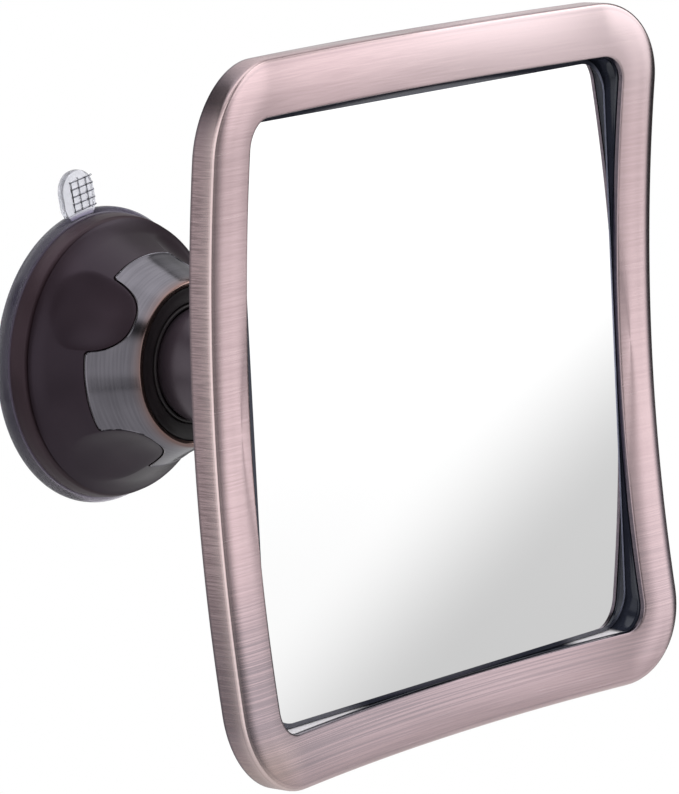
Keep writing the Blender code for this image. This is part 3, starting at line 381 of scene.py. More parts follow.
        # Painted highlight: a pale line along the crease and a lighter front of the side wall,
        # fainter on the top member.
        top = up.between(*self.crease_top)
        edge_highlight = graph.mask("worn_and_highlit") * (self.crease_highlight_share - top * self.highlight_loss_at_top)
        colour = graph.mix(edge_highlight, painted_shade, self.worn_and_highlit)
        self.coat(
            graph, Base_Color=colour, Metallic=1.0,
            Roughness=self.roughness + streak * self.swing, Anisotropic=self.stretch,
            Anisotropic_Rotation=self.quarter_turn,
            Normal=graph.bump(streak, self.groove_depth))


@dataclass(frozen=True)
class Moulded(Finish):
    """Moulded plastic with a fine skin."""

    name: str
    colour: Colour
    sheen_colour: Colour
    roughness: float
    specular: float = 0.4
    tint: Colour = (1.0, 1.0, 1.0)
    grain: float = 2600.0
    grain_depth: float = 0.00001
    cloud: float = 70.0
    contrast: Span = (0.35, 0.7)
    swing: float = 0.08

    def paint(self, graph: Graph) -> None:
        """Write the finish's nodes.

        Args:
            graph: The material's graph.
        """
        skin, cloud = graph.noise(self.grain), graph.noise(self.cloud)
        colour = graph.mix(cloud.between(*self.contrast), self.colour, self.sheen_colour)
        self.coat(
            graph, Base_Color=colour, Roughness=self.roughness + cloud * self.swing,
            Specular_IOR_Level=self.specular, Specular_Tint=(*self.tint, 1.0),
            Normal=graph.bump(skin, self.grain_depth))


@dataclass(frozen=True)
class GlossyLiner(Finish):
    """Glossy black plastic, with a painted white reflection on the bottom walls by the lower
    corners.

    The spans left, right, right_end and foot are places on the head, in metres across or up,
    where the painted reflection starts or stops.
    """

    name: str = "black_plastic"
    black: Colour = (0.009, 0.010, 0.016)
    sheen: Colour = (0.016, 0.018, 0.028)
    painted_reflection: Colour = (0.93, 0.90, 0.93)
    roughness: float = 0.12
    swing: float = 0.08
    specular: float = 0.5
    tint: Colour = (0.86, 0.90, 1.0)
    cloud: float = 70.0
    contrast: Span = (0.35, 0.7)
    upright: Span = (0.35, 0.6)
    left: Span = (-0.036, -0.048)
    right: Span = (0.050, 0.058)
    right_end: Span = (0.0745, 0.0715)
    foot: Span = (-0.078, -0.083)

    def paint(self, graph: Graph) -> None:
        """Write the finish's nodes.

        Args:
            graph: The material's graph.
        """
        cloud = graph.noise(self.cloud)
        across, up = graph.along(0), graph.along(2)
        ends = (across.between(*self.left)
                + across.between(*self.right) * across.between(*self.right_end))
        # Painted reflection: white on the bottom walls near the lower corners.
        painted_reflection = ends * up.between(*self.foot) * graph.facing(2).between(*self.upright)
        colour = graph.mix(cloud.between(*self.contrast), self.black, self.sheen)
        self.coat(
            graph, Base_Color=graph.mix(painted_reflection, colour, self.painted_reflection),
            Roughness=self.roughness + cloud * self.swing,
            Specular_IOR_Level=self.specular, Specular_Tint=(*self.tint, 1.0))


@dataclass(frozen=True)
class GunmetalPlate(Finish):
    """Dark gunmetal plating whose rubbing shows copper at the front, with a painted highlight on
    its edges.
    """

    name: str = "gunmetal_plate"
    dark: Colour = (0.148, 0.141, 0.162)
    light: Colour = (0.212, 0.202, 0.230)
    copper: Colour = (0.25, 0.135, 0.105)
    bright: Colour = (0.62, 0.58, 0.58)
    rings: Triple = (45.0, 1500.0, 45.0)
    cloud: float = 70.0
    ring_depth: float = 0.000006
    ring_detail: float = 3.0
    cloud_detail: float = 1.0
    ring_tone: float = 0.5
    cloud_tone: float = 0.5
    contrast: Span = (0.35, 0.65)
    rub_start: float = 0.55
    rub_swing: float = 0.6
    roughness: float = 0.13
    swing: float = 0.10

    def paint(self, graph: Graph) -> None:
        """Write the finish's nodes.

        Args:
            graph: The material's graph.
        """
        ring = graph.noise(self.rings, self.ring_detail)
        cloud = graph.noise(self.cloud, self.cloud_detail)
        tone = (ring.between(*self.contrast) * self.ring_tone
                + cloud.between(*self.contrast) * self.cloud_tone)
        plate = graph.mix(tone, self.dark, self.light)
        rub = graph.mask("worn_and_highlit") * (self.rub_start + ring * self.rub_swing)
        rubbed_and_top_lit = graph.mix(rub, plate, self.copper)
        # Painted highlight: the crown's edge bead and its front rim are made bright.
        colour = graph.mix(graph.mask("edge_highlight"), rubbed_and_top_lit, self.bright)
        self.coat(
            graph, Base_Color=colour, Metallic=1.0, Roughness=self.roughness + ring * self.swing,
            Normal=graph.bump(ring, self.ring_depth))


@dataclass(frozen=True)
class ClearVinyl(Finish):
    """Clear soft vinyl with a blue grey cast, darker where it is thick, with painted light towards
    its bottom and painted shade where the base ring covers it.
    """

    name: str = "clear_vinyl"
    tint: Colour = (0.86, 0.86, 0.91)
    milky: Colour = (0.74, 0.745, 0.81)
    thick: Colour = (0.25, 0.225, 0.33)
    painted_light: Colour = (0.64, 0.60, 0.70)
    shaded: Colour = (0.075, 0.062, 0.085)
    thick_radius: float = 0.0438
    chamfer: float = 0.0014
    under: Span = (0.0003, 0.0011)
    lit_foot: Span = (-0.012, -0.036)
    cloud: float = 160.0
    skin: float = 900.0
    skin_depth: float = 0.0000015
    clearness: float = 0.86
    bending: float = 1.42
    roughness: float = 0.07
    swing: float = 0.08

    def paint(self, graph: Graph) -> None:
        """Write the finish's nodes.

        Args:
            graph: The material's graph.
        """
        cloud, skin = graph.noise(self.cloud), graph.noise(self.skin)
        across, up = graph.along(0), graph.along(2)
        radius = (across * across + up * up) ** 0.5
        thin = radius.between(self.thick_radius, self.thick_radius + self.chamfer)
        # Painted light: the thick vinyl is lighter towards the bottom.
        thick = graph.mix(up.between(*self.lit_foot), self.thick, self.painted_light)
        colour = graph.mix(thin, thick, graph.mix(cloud, self.tint, self.milky))
        under = radius.between(*(self.thick_radius - inset for inset in self.under))
        colour = graph.mix(under, colour, self.shaded)
        self.coat(
            graph, Base_Color=colour, Transmission_Weight=self.clearness, IOR=self.bending,
            Roughness=self.roughness + cloud * self.swing,
            Normal=graph.bump(skin, self.skin_depth))


@dataclass(frozen=True)
class Silvering(Finish):
    """The silvered front of the pane."""

    name: str = "silvered_pane"
    tint: Colour = (0.972, 0.972, 0.972)
    haze: Colour = (0.950, 0.950, 0.952)
    patches: float = 14.0
    roughness: float = 0.008
    swing: float = 0.006

    def paint(self, graph: Graph) -> None:
        """Write the finish's nodes.

        Args:
            graph: The material's graph.
        """
        haze = graph.noise(self.patches)
        self.coat(
            graph, Base_Color=graph.mix(haze, self.tint, self.haze), Metallic=1.0,
            Roughness=self.roughness + haze * self.swing)


@dataclass(frozen=True)
class GroundGlass(Finish):
    """The ground edge of the pane, with a painted blue grey reflection on the right and nearly
    black elsewhere.
    """

    name: str = "ground_glass"
    light: Colour = (0.44, 0.46, 0.60)
    dark: Colour = (0.28, 0.29, 0.39)
    shaded: Colour = (0.030, 0.032, 0.048)
    grit: float = 420.0
    side_facing: Span = (0.15, 0.45)
    right: Span = (0.0, 0.05)
    roughness: float = 0.16
    swing: float = 0.16

    def paint(self, graph: Graph) -> None:
        """Write the finish's nodes.

        Args:
            graph: The material's graph.
        """
        grind = graph.noise(self.grit)
        # Painted reflection: the edges that face the right are blue grey.
        side = graph.facing(0).between(*self.side_facing) * graph.along(0).between(*self.right)
        colour = graph.mix(side, self.shaded, graph.mix(grind, self.light, self.dark))
        self.coat(graph, Base_Color=colour, Roughness=self.roughness + grind * self.swing)


@dataclass(frozen=True)
class TurnedMetal(Finish):
    """Metal with the rings that a lathe leaves round the common axis."""

    name: str
    light: Colour
    dark: Colour
    roughness: float = 0.26
    swing: float = 0.14
    rings: Triple = (90.0, 3600.0, 90.0)
    ring_depth: float = 0.00001

    def paint(self, graph: Graph) -> None:
        """Write the finish's nodes.

        Args:
            graph: The material's graph.
        """
        rings = graph.noise(self.rings)
        self.coat(
            graph, Base_Color=graph.mix(rings, self.light, self.dark), Metallic=1.0,
            Roughness=self.roughness + rings * self.swing,
            Normal=graph.bump(rings, self.ring_depth))


@dataclass(frozen=True)
class PaleFloor(Finish):
    """A pale matt floor, which glows a little in the camera's own view."""

    name: str = "pale_floor"
    pale: Colour = (0.55, 0.55, 0.55)
    seen_pale: Colour = (0.92, 0.92, 0.92)
    black: Colour = (0.0, 0.0, 0.0)
    white: Colour = (1.0, 1.0, 1.0)
    roughness: float = 0.9
    glow: float = 0.45

    def paint(self, graph: Graph) -> None:
        """Write the finish's nodes.

        Args:
            graph: The material's graph.
        """
        seen = graph.path("Is Camera Ray")
        self.coat(
            graph, Base_Color=graph.mix(seen, self.pale, self.seen_pale),
            Roughness=self.roughness,
            Emission_Color=graph.mix(seen, self.black, self.white),
            Emission_Strength=self.glow)


@dataclass(frozen=True)
class Foam(Finish):
    """White foam tape with open cells."""

    name: str = "foam_tape"
    light: Colour = (0.86, 0.86, 0.83)
    dark: Colour = (0.60, 0.60, 0.57)
    cells: float = 1500.0
    cell_depth: float = 0.0002
    roughness: float = 0.9

    def paint(self, graph: Graph) -> None:
        """Write the finish's nodes.

        Args:
            graph: The material's graph.
        """
        cells = graph.noise(self.cells)
        self.coat(
            graph, Base_Color=graph.mix(cells, self.light, self.dark),
            Roughness=self.roughness, Normal=graph.bump(cells, self.cell_depth))


class Look(Enum):
    """The finishes of this mirror."""

    COPPER = BrushedCopper()
    GUNMETAL = GunmetalPlate()
    DARK = Moulded(
        "dark_brown_plastic", (0.0120, 0.0070, 0.0095), (0.0235, 0.0150, 0.0195),
        roughness=0.30, specular=0.42, tint=(0.92, 0.76, 0.98), cloud=34.0)
    SATIN = Moulded(
        "dark_satin_plastic", (0.018, 0.0100, 0.013), (0.025, 0.0145, 0.019),
        roughness=0.40, specular=0.42, tint=(1.0, 0.78, 0.92))
    BALL = Moulded(
        "dark_ball_plastic", (0.030, 0.021, 0.028), (0.040, 0.029, 0.037),
        roughness=0.32, specular=1.00, tint=(1.0, 0.88, 1.0))
    BOWL = Moulded(
        "dark_bowl_plastic", (0.016, 0.013, 0.0145), (0.023, 0.018, 0.020), roughness=0.36)
    BLACK = GlossyLiner()
    COVER = Moulded(
        "black_cover_plastic", (0.021, 0.020, 0.022), (0.027, 0.026, 0.028), roughness=0.42,
        cloud=260.0)
    NYLON = Moulded("white_nylon", (0.74, 0.74, 0.70), (0.82, 0.82, 0.78), roughness=0.42)
    BOARD = Moulded("grey_board", (0.27, 0.27, 0.28), (0.34, 0.34, 0.35), roughness=0.60)
    VINYL = ClearVinyl()
    SILVER = Silvering()
    GROUND = GroundGlass()
    STEEL = TurnedMetal("zinc_steel", (0.66, 0.66, 0.68), (0.44, 0.44, 0.46))
    BRASS = TurnedMetal("turned_brass", (0.74, 0.56, 0.27), (0.52, 0.37, 0.16))
    FOAM = Foam()
    FLOOR = PaleFloor()

    def material(self) -> bpy.types.Material:
        """Return the finish's one material, which is made when it is first asked for.

        Returns:
            The material.
        """
        if self.name not in MATERIALS:
            MATERIALS[self.name] = self.value.material()
        return MATERIALS[self.name]


MATERIALS: dict[str, bpy.types.Material] = {}


def on_axis(radius: float, angle: float, depth: float) -> Vector:
    """Return the point at a radius and an angle round the common axis, at a depth."""
    return Vector((radius * cos(angle), -depth, radius * sin(angle)))


def even_angles(steps: int) -> list[float]:
    """Return angles that divide a full turn evenly."""
    return [2.0 * pi * k / steps for k in range(steps)]


def filleted(corners: Sequence[Triple], steps: int = 4) -> Section:
    """Round the corners of a section.

    Args:
        corners: A radius, a depth and a fillet for each corner.
        steps: How many stretches each fillet is drawn in.

    Returns:
        The section's points.
    """
    points: Section = []
    for k, (radius, depth, fillet) in enumerate(corners):
        here = Vector((radius, depth))
        if fillet == 0.0:
            points.append((radius, depth))
            continue
        before = Vector(corners[k - 1][:2]) - here
        after = Vector(corners[(k + 1) % len(corners)][:2]) - here
        start = here + before.normalized() * min(fillet, before.length / 2.0)
        end = here + after.normalized() * min(fillet, after.length / 2.0)
        for step in range(steps + 1):
            share = step / steps
            point = start.lerp(here, share).lerp(here.lerp(end, share), share)
            points.append((point.x, point.y))
    return points


def rounded_outline(half_width: float, half_height: float, corner: float, sides: int,
                    corners: int) -> Ring:
    """Return a rounded rectangle.

    Args:
        half_width: Half its width.
        half_height: Half its height.
        corner: Its corner radius.
        sides: How many stretches each side has.
        corners: How many stretches each corner has.

    Returns:
        Its points as (across, up), anticlockwise.
    """
    points: Ring = []
    centres = [Vector((east * (half_width - corner), north * (half_height - corner)))
               for east, north in ((1, 1), (-1, 1), (-1, -1), (1, -1))]
    for turn, centre in enumerate(centres):
        for k in range(corners + 1):
            angle = pi / 2.0 * (turn + k / corners)
            points.append(centre + corner * Vector((cos(angle), sin(angle))))
        angle = pi / 2.0 * (turn + 1)
        target = centres[(turn + 1) % 4] + corner * Vector((cos(angle), sin(angle)))
        start = points[-1]
        points += [start.lerp(target, k / sides) for k in range(1, sides)]
    return points


class Ends(Enum):
    """What is done with the first and the last ring of a shape."""

    JOINED = "joined"
    FILLED = "filled"
    OPEN = "open"


class Cut(Enum):
    """What a tool does to a piece."""

    AWAY = "DIFFERENCE"
    JOIN = "UNION"


class Shape:
    """A mesh in the making, sewn from rings of points."""

    def __init__(self) -> None:
        """Start with nothing."""
        self.points: list[Vector] = []
        self.faces: list[list[int]] = []
        self.masks: dict[str, list[float]] = {}

    def add_rings(self, rings: Sequence[Ring], ends: Ends = Ends.JOINED,
                  masks: Optional[dict[str, Sequence[float]]] = None) -> "Shape":
        """Sew rings of equal length.

        Args:
            rings: The rings, in order.
            ends: What is done with the first and the last ring.
            masks: A value per ring for each named mask.

        Returns:
            The shape itself.
        """
        start = len(self.points)
        count = len(rings[0])
        for ring in rings:
            self.points += ring
        pairs = [(k, k + 1) for k in range(len(rings) - 1)]
        if ends is Ends.JOINED:
            pairs.append((len(rings) - 1, 0))
        for first, second in pairs:
            a, b = start + first * count, start + second * count
            for k in range(count):
                after = (k + 1) % count
                self.faces.append([a + k, a + after, b + after, b + k])
        if ends is Ends.FILLED:
            for first in (start, start + (len(rings) - 1) * count):
                self.faces.append([first + k for k in range(count)])
        for name, values in (masks or {}).items():
            self.masks.setdefault(name, [])
            self.masks[name] += [value for value in values for _ in range(count)]
        return self

    def add_turned(self, section: Section, steps: int,
                   masks: Optional[dict[str, Sequence[float]]] = None) -> "Shape":
        """Add a closed section of (radius, depth) turned round the common axis."""
        rings = [[on_axis(r, a, d) for a in even_angles(steps)] for r, d in section]
        return self.add_rings(rings, masks=masks)

    def build(self, name: str) -> bpy.types.Object:
        """Make the object.

        Args:
            name: The object's name.

        Returns:
            The object, shaded smooth with sharp edges.
        """
        mesh = bpy.data.meshes.new(name)
        mesh.from_pydata(self.points, [], self.faces)
        for mask, values in self.masks.items():
            mesh.attributes.new(mask, "FLOAT", "POINT").data.foreach_set("value", values)
        bm = bmesh.new()
        bm.from_mesh(mesh)
        bmesh.ops.remove_doubles(bm, verts=bm.verts[:], dist=WELD_DISTANCE)
        bmesh.ops.recalc_face_normals(bm, faces=bm.faces[:])
        bm.to_mesh(mesh)
        bm.free()
        piece = place(name, mesh)
        smooth(piece)
        return piece


def place(name: str, data: bpy.types.ID) -> bpy.types.Object:
    """Put an object with its data in the scene.

    Args:
        name: The object's name.
        data: Its mesh, lamp or camera.

    Returns:
        The object.
    """
    placed = bpy.data.objects.new(name, data)
    bpy.context.scene.collection.objects.link(placed)
    return placed


def turned(name: str, corners: Sequence[Triple], steps: int) -> bpy.types.Object:
    """Return a piece turned from a section's corners, each with its fillet."""
    return Shape().add_turned(filleted(corners), steps).build(name)


def smooth(piece: bpy.types.Object, sharpest: float = SHARP_EDGE_DEG) -> None:
    """Shade a piece smooth, but for the edges that bend by more than an angle in degrees."""
    piece.data.shade_smooth()
    piece.data.set_sharp_from_angle(angle=radians(sharpest))


def carve(piece: bpy.types.Object, tools: Sequence[bpy.types.Object],
          cut: Cut = Cut.AWAY) -> None:
    """Cut a piece with tools, or join them to it, and remove the tools.

    Args:
        piece: The piece, whose mesh is changed.
        tools: The objects to cut or join with.
        cut: What the tools do.
    """
    for tool in tools:
        modifier = piece.modifiers.new(tool.name, "BOOLEAN")
        modifier.operation = cut.value
        modifier.object = tool
        modifier.solver = "EXACT"
    evaluated = piece.evaluated_get(bpy.context.evaluated_depsgraph_get())
    mesh = bpy.data.meshes.new_from_object(evaluated)
    piece.modifiers.clear()
    piece.data = mesh
    for tool in tools:
        bpy.data.objects.remove(tool)
    smooth(piece)


def dress(piece: bpy.types.Object, look: Look, body: Optional[str],
          node: str) -> None:
    """Give a piece its finish and say what it stands for.

    Args:
        piece: The new piece, already in place.
        look: Its finish.
        body: The body that it moves with, or None where it stretches between two.
        node: The CAD node that it stands for.
    """
    piece.data.materials.clear()
    piece.data.materials.append(look.material())
    if body is not None:
        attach(piece, body)
    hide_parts(node)
    LOG.info("%s: %d faces, %s, on %s", piece.name, len(piece.data.polygons), look.name,
             body or "two bodies")


def refinish(node: str, look: Look) -> None:
    """Give a CAD node that stays a better finish.

    Args:
        node: The node's name.
        look: Its finish.
    """
    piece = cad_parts[node]
    piece.data.materials.clear()
    piece.data.materials.append(look.material())
    LOG.info("%s: CAD node, %s", node, look.name)


@dataclass
class SuctionBase:
    """The clear disc with its pull tab, and the ring and hub that press it to the wall."""

    disc_radius: float = 0.0446
    disc_edge: float = 0.0012
    disc_thickness: float = 0.0034
    disc_chamfer: float = 0.0014
    disc_skin: float = 0.0022
    seat_width: float = 0.0080
    boss_radius: float = 0.0076
    boss_height: float = 0.0090
    pocket_radius: float = 0.0058
    pocket_back: float = 0.0028
    pocket_front: float = 0.0058
    stud_bore: float = 0.0043
    stretch_start: float = 0.0036
    stretch_end: float = 0.0050
    tab_angle: float = 99.4
    tab_width: float = 0.0132
    tab_reach: float = 0.0130
    tab_overlap: float = 0.0030
    tab_thickness: float = 0.0024
    tab_lift: float = 0.0004
    tab_corner: float = 0.0062
    tab_edge: float = 0.0005
    tab_edge_share: float = 0.15
    rib_width: float = 0.0006
    rib_corner: float = 0.0002
    rib_lift: float = 0.00002
    rib_section: tuple[Span, ...] = (
        (0.0, 0.0), (0.0, 0.00025), (0.0001, 0.00042), (0.0002, 0.00045))
    rib_start: float = 0.0008
    rib_stop: float = 0.0026
    rib_left: float = -0.0034
    rib_right: float = 0.0063
    uprights: tuple[Triple, ...] = (
        (-0.0034, -0.0028, 0.0), (-0.0002, 0.0004, 0.0006), (0.0030, 0.0036, 0.0))
    bar_rows: int = 4
    housing_radius: float = 0.0428
    housing_back: float = 0.0037
    housing_front: float = 0.0090
    housing_dome: tuple[Triple, ...] = (
        (0.0002, 0.0060, ROUND), (0.0008, 0.0084, 0.0005), (0.0018, 0.0090, SOFT))
    housing_inner: float = 0.0380
    web_back: float = 0.0060
    hub_radius: float = 0.0102
    hub_end: float = 0.0257
    core_radius: float = 0.0079
    core_end: float = 0.0126
    wall_end: float = 0.0142
    spring_bore: float = 0.0062
    slot_depth: float = 0.0190
    slot_size: Triple = (0.0224, 0.0074, 0.0036)
    spring_foot: float = 0.0204
    spring_radius: float = 0.0044
    spring_wire: float = 0.0004
    spring_turns: float = 2.5
    spring_rows: int = 90
    spring_sides: int = 10
    draw: float = 0.0030
    steps: int = 192

    def build(self) -> None:
        """Build and dress every piece of the base."""
        self.build_disc()
        self.build_housing()
        refinish("thrust_washer", Look.NYLON)
        refinish("draw_stud", Look.BRASS)
        refinish("cross_pin", Look.STEEL)
        self.build_spring()
        for k in (1, 2, 3):
            refinish(f"socket_screw_{k}", Look.STEEL)

    def build_disc(self) -> None:
        """Build the disc with its boss, and join the ribbed pull tab to it."""
        seat = self.disc_radius - self.disc_chamfer - self.seat_width
        corners = [
            (0.0, 0.0, 0.0),
            (self.disc_radius, 0.0, CRISP),
            (self.disc_radius, self.disc_edge, EASED),
            (self.disc_radius - self.disc_chamfer, self.disc_thickness, EASED),
            (seat, self.disc_thickness, EASED),
            (seat - self.disc_chamfer, self.disc_skin, SOFT),
            (self.boss_radius + self.disc_chamfer, self.disc_skin, ROUND),
            (self.boss_radius, self.disc_thickness, ROUND),
            (self.boss_radius, self.boss_height, SOFT),
            (self.stud_bore, self.boss_height, 0.0),
            (self.stud_bore, self.pocket_front, 0.0),
            (self.pocket_radius, self.pocket_front, 0.0),
            (self.pocket_radius, self.pocket_back, 0.0),
            (0.0, self.pocket_back, 0.0),
        ]
        disc = turned("suction_disc_clear", corners, self.steps)
        carve(disc, [self.tab_body()], Cut.JOIN)
        dress(disc, Look.VINYL, None, "suction_disc")
        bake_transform(disc)
        ribs = self.tab_ribs()
        dress(ribs, Look.VINYL, "base", "suction_disc")

    def tab_place(self) -> Matrix:
        """Return the turn that leans the upright tab to its place on the rim."""
        return Matrix.Rotation(radians(90.0 - self.tab_angle), 4, "Y")

    def tab_body(self) -> bpy.types.Object:
        """Build the tab's tongue, rounded at its end and along its edges.

        Returns:
            The tongue, a tool to join to the disc.
        """
        start = self.disc_radius - self.tab_overlap
        end = self.disc_radius + self.tab_reach
        half, middle, long = self.tab_width / 2.0, (start + end) / 2.0, (end - start) / 2.0
        edge, thickness = self.tab_edge, self.tab_thickness
        near = self.tab_edge_share * edge
        levels = [(edge, 0.0), (near, near), (0.0, edge), (0.0, thickness - edge),
                  (near, thickness - near), (edge, thickness)]
        rings: list[Ring] = []
        for inset, rise in levels:
            outline = rounded_outline(half - inset, long - inset, self.tab_corner - inset,
                                      sides=2, corners=10)
            rings.append([Vector((p.x, -self.tab_lift - rise, p.y + middle)) for p in outline])
        tab = Shape().add_rings(rings, Ends.FILLED).build("tab_tool")
        tab.data.transform(self.tab_place())
        return tab

    def tab_ribs(self) -> bpy.types.Object:
        """Build the grip ribs on the tab's front: low bars in a grid.

        Returns:
            The ribs.
        """
        front = self.tab_lift + self.tab_thickness + self.rib_lift
        shape = Shape()
        low = self.disc_radius + self.rib_start
        high = self.disc_radius + self.tab_reach - self.rib_stop
        bars = [(left, low, right, high + above) for left, right, above in self.uprights]
        for k in range(self.bar_rows + 1):
            level = low + (high - low - self.rib_width) * k / self.bar_rows
            bars.append((self.rib_left, level, self.rib_right, level + self.rib_width))
        for left, bottom, right, top in bars:
            middle = Vector(((left + right) / 2.0, (bottom + top) / 2.0))
            half = Vector(((right - left) / 2.0, (top - bottom) / 2.0))
            rings: list[Ring] = []
            for inset, rise in self.rib_section:
                outline = rounded_outline(half.x - inset, half.y - inset, self.rib_corner,
                                          sides=2, corners=4)
                rings.append([
                    Vector((p.x + middle.x, -front - rise, p.y + middle.y)) for p in outline])
            shape.add_rings(rings, Ends.FILLED)
        ribs = shape.build("tab_ribs")
        ribs.data.transform(self.tab_place())
        return ribs

    def build_spring(self) -> None:
        """Build the coil over the stud."""
        low, high = self.spring_foot + self.spring_wire, self.hub_end - self.spring_wire
        rings: list[Ring] = []
        for k in range(self.spring_rows + 1):
            share = k / self.spring_rows
            turn = 2.0 * pi * self.spring_turns * share
            depth = low + (high - low) * share * share * (3.0 - 2.0 * share)
            rings.append([
                on_axis(self.spring_radius + self.spring_wire * cos(a), turn,
                        depth + self.spring_wire * sin(a))
                for a in even_angles(self.spring_sides)])
        spring = Shape().add_rings(rings, Ends.FILLED).build("spring_coil")
        dress(spring, Look.STEEL, "base", "return_spring")
        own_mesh(spring)

    def build_housing(self) -> None:
        """Build the dark ring on the disc with its hub and the pin's slots."""
        corners = [
            (self.housing_radius, self.housing_back, EASED),
            *((self.housing_radius - inset, depth, fillet)
              for inset, depth, fillet in self.housing_dome),
            (self.hub_radius, self.housing_front, 0.0),
            (self.hub_radius, self.hub_end, CRISP),
            (self.spring_bore, self.hub_end, CRISP),
            (self.spring_bore, self.wall_end, 0.0),
            (self.stud_bore, self.wall_end, 0.0),
            (self.stud_bore, self.core_end, 0.0),
            (self.core_radius, self.core_end, 0.0),
            (self.core_radius, self.web_back, 0.0),
            (self.housing_inner, self.web_back, 0.0),
            (self.housing_inner, self.housing_back, EASED),
        ]
        housing = turned("base_ring", corners, self.steps)
        slot = bmesh.new()
        bmesh.ops.create_cube(slot, size=1.0)
        mesh = bpy.data.meshes.new("slot_tool")
        slot.to_mesh(mesh)
        slot.free()
        mesh.transform(Matrix.Translation((0.0, -self.slot_depth, 0.0))
                       @ Matrix.Diagonal((*self.slot_size, 1.0)))
        carve(housing, [place("slot_tool", mesh)])
        dress(housing, Look.SATIN, "base", "base_housing")


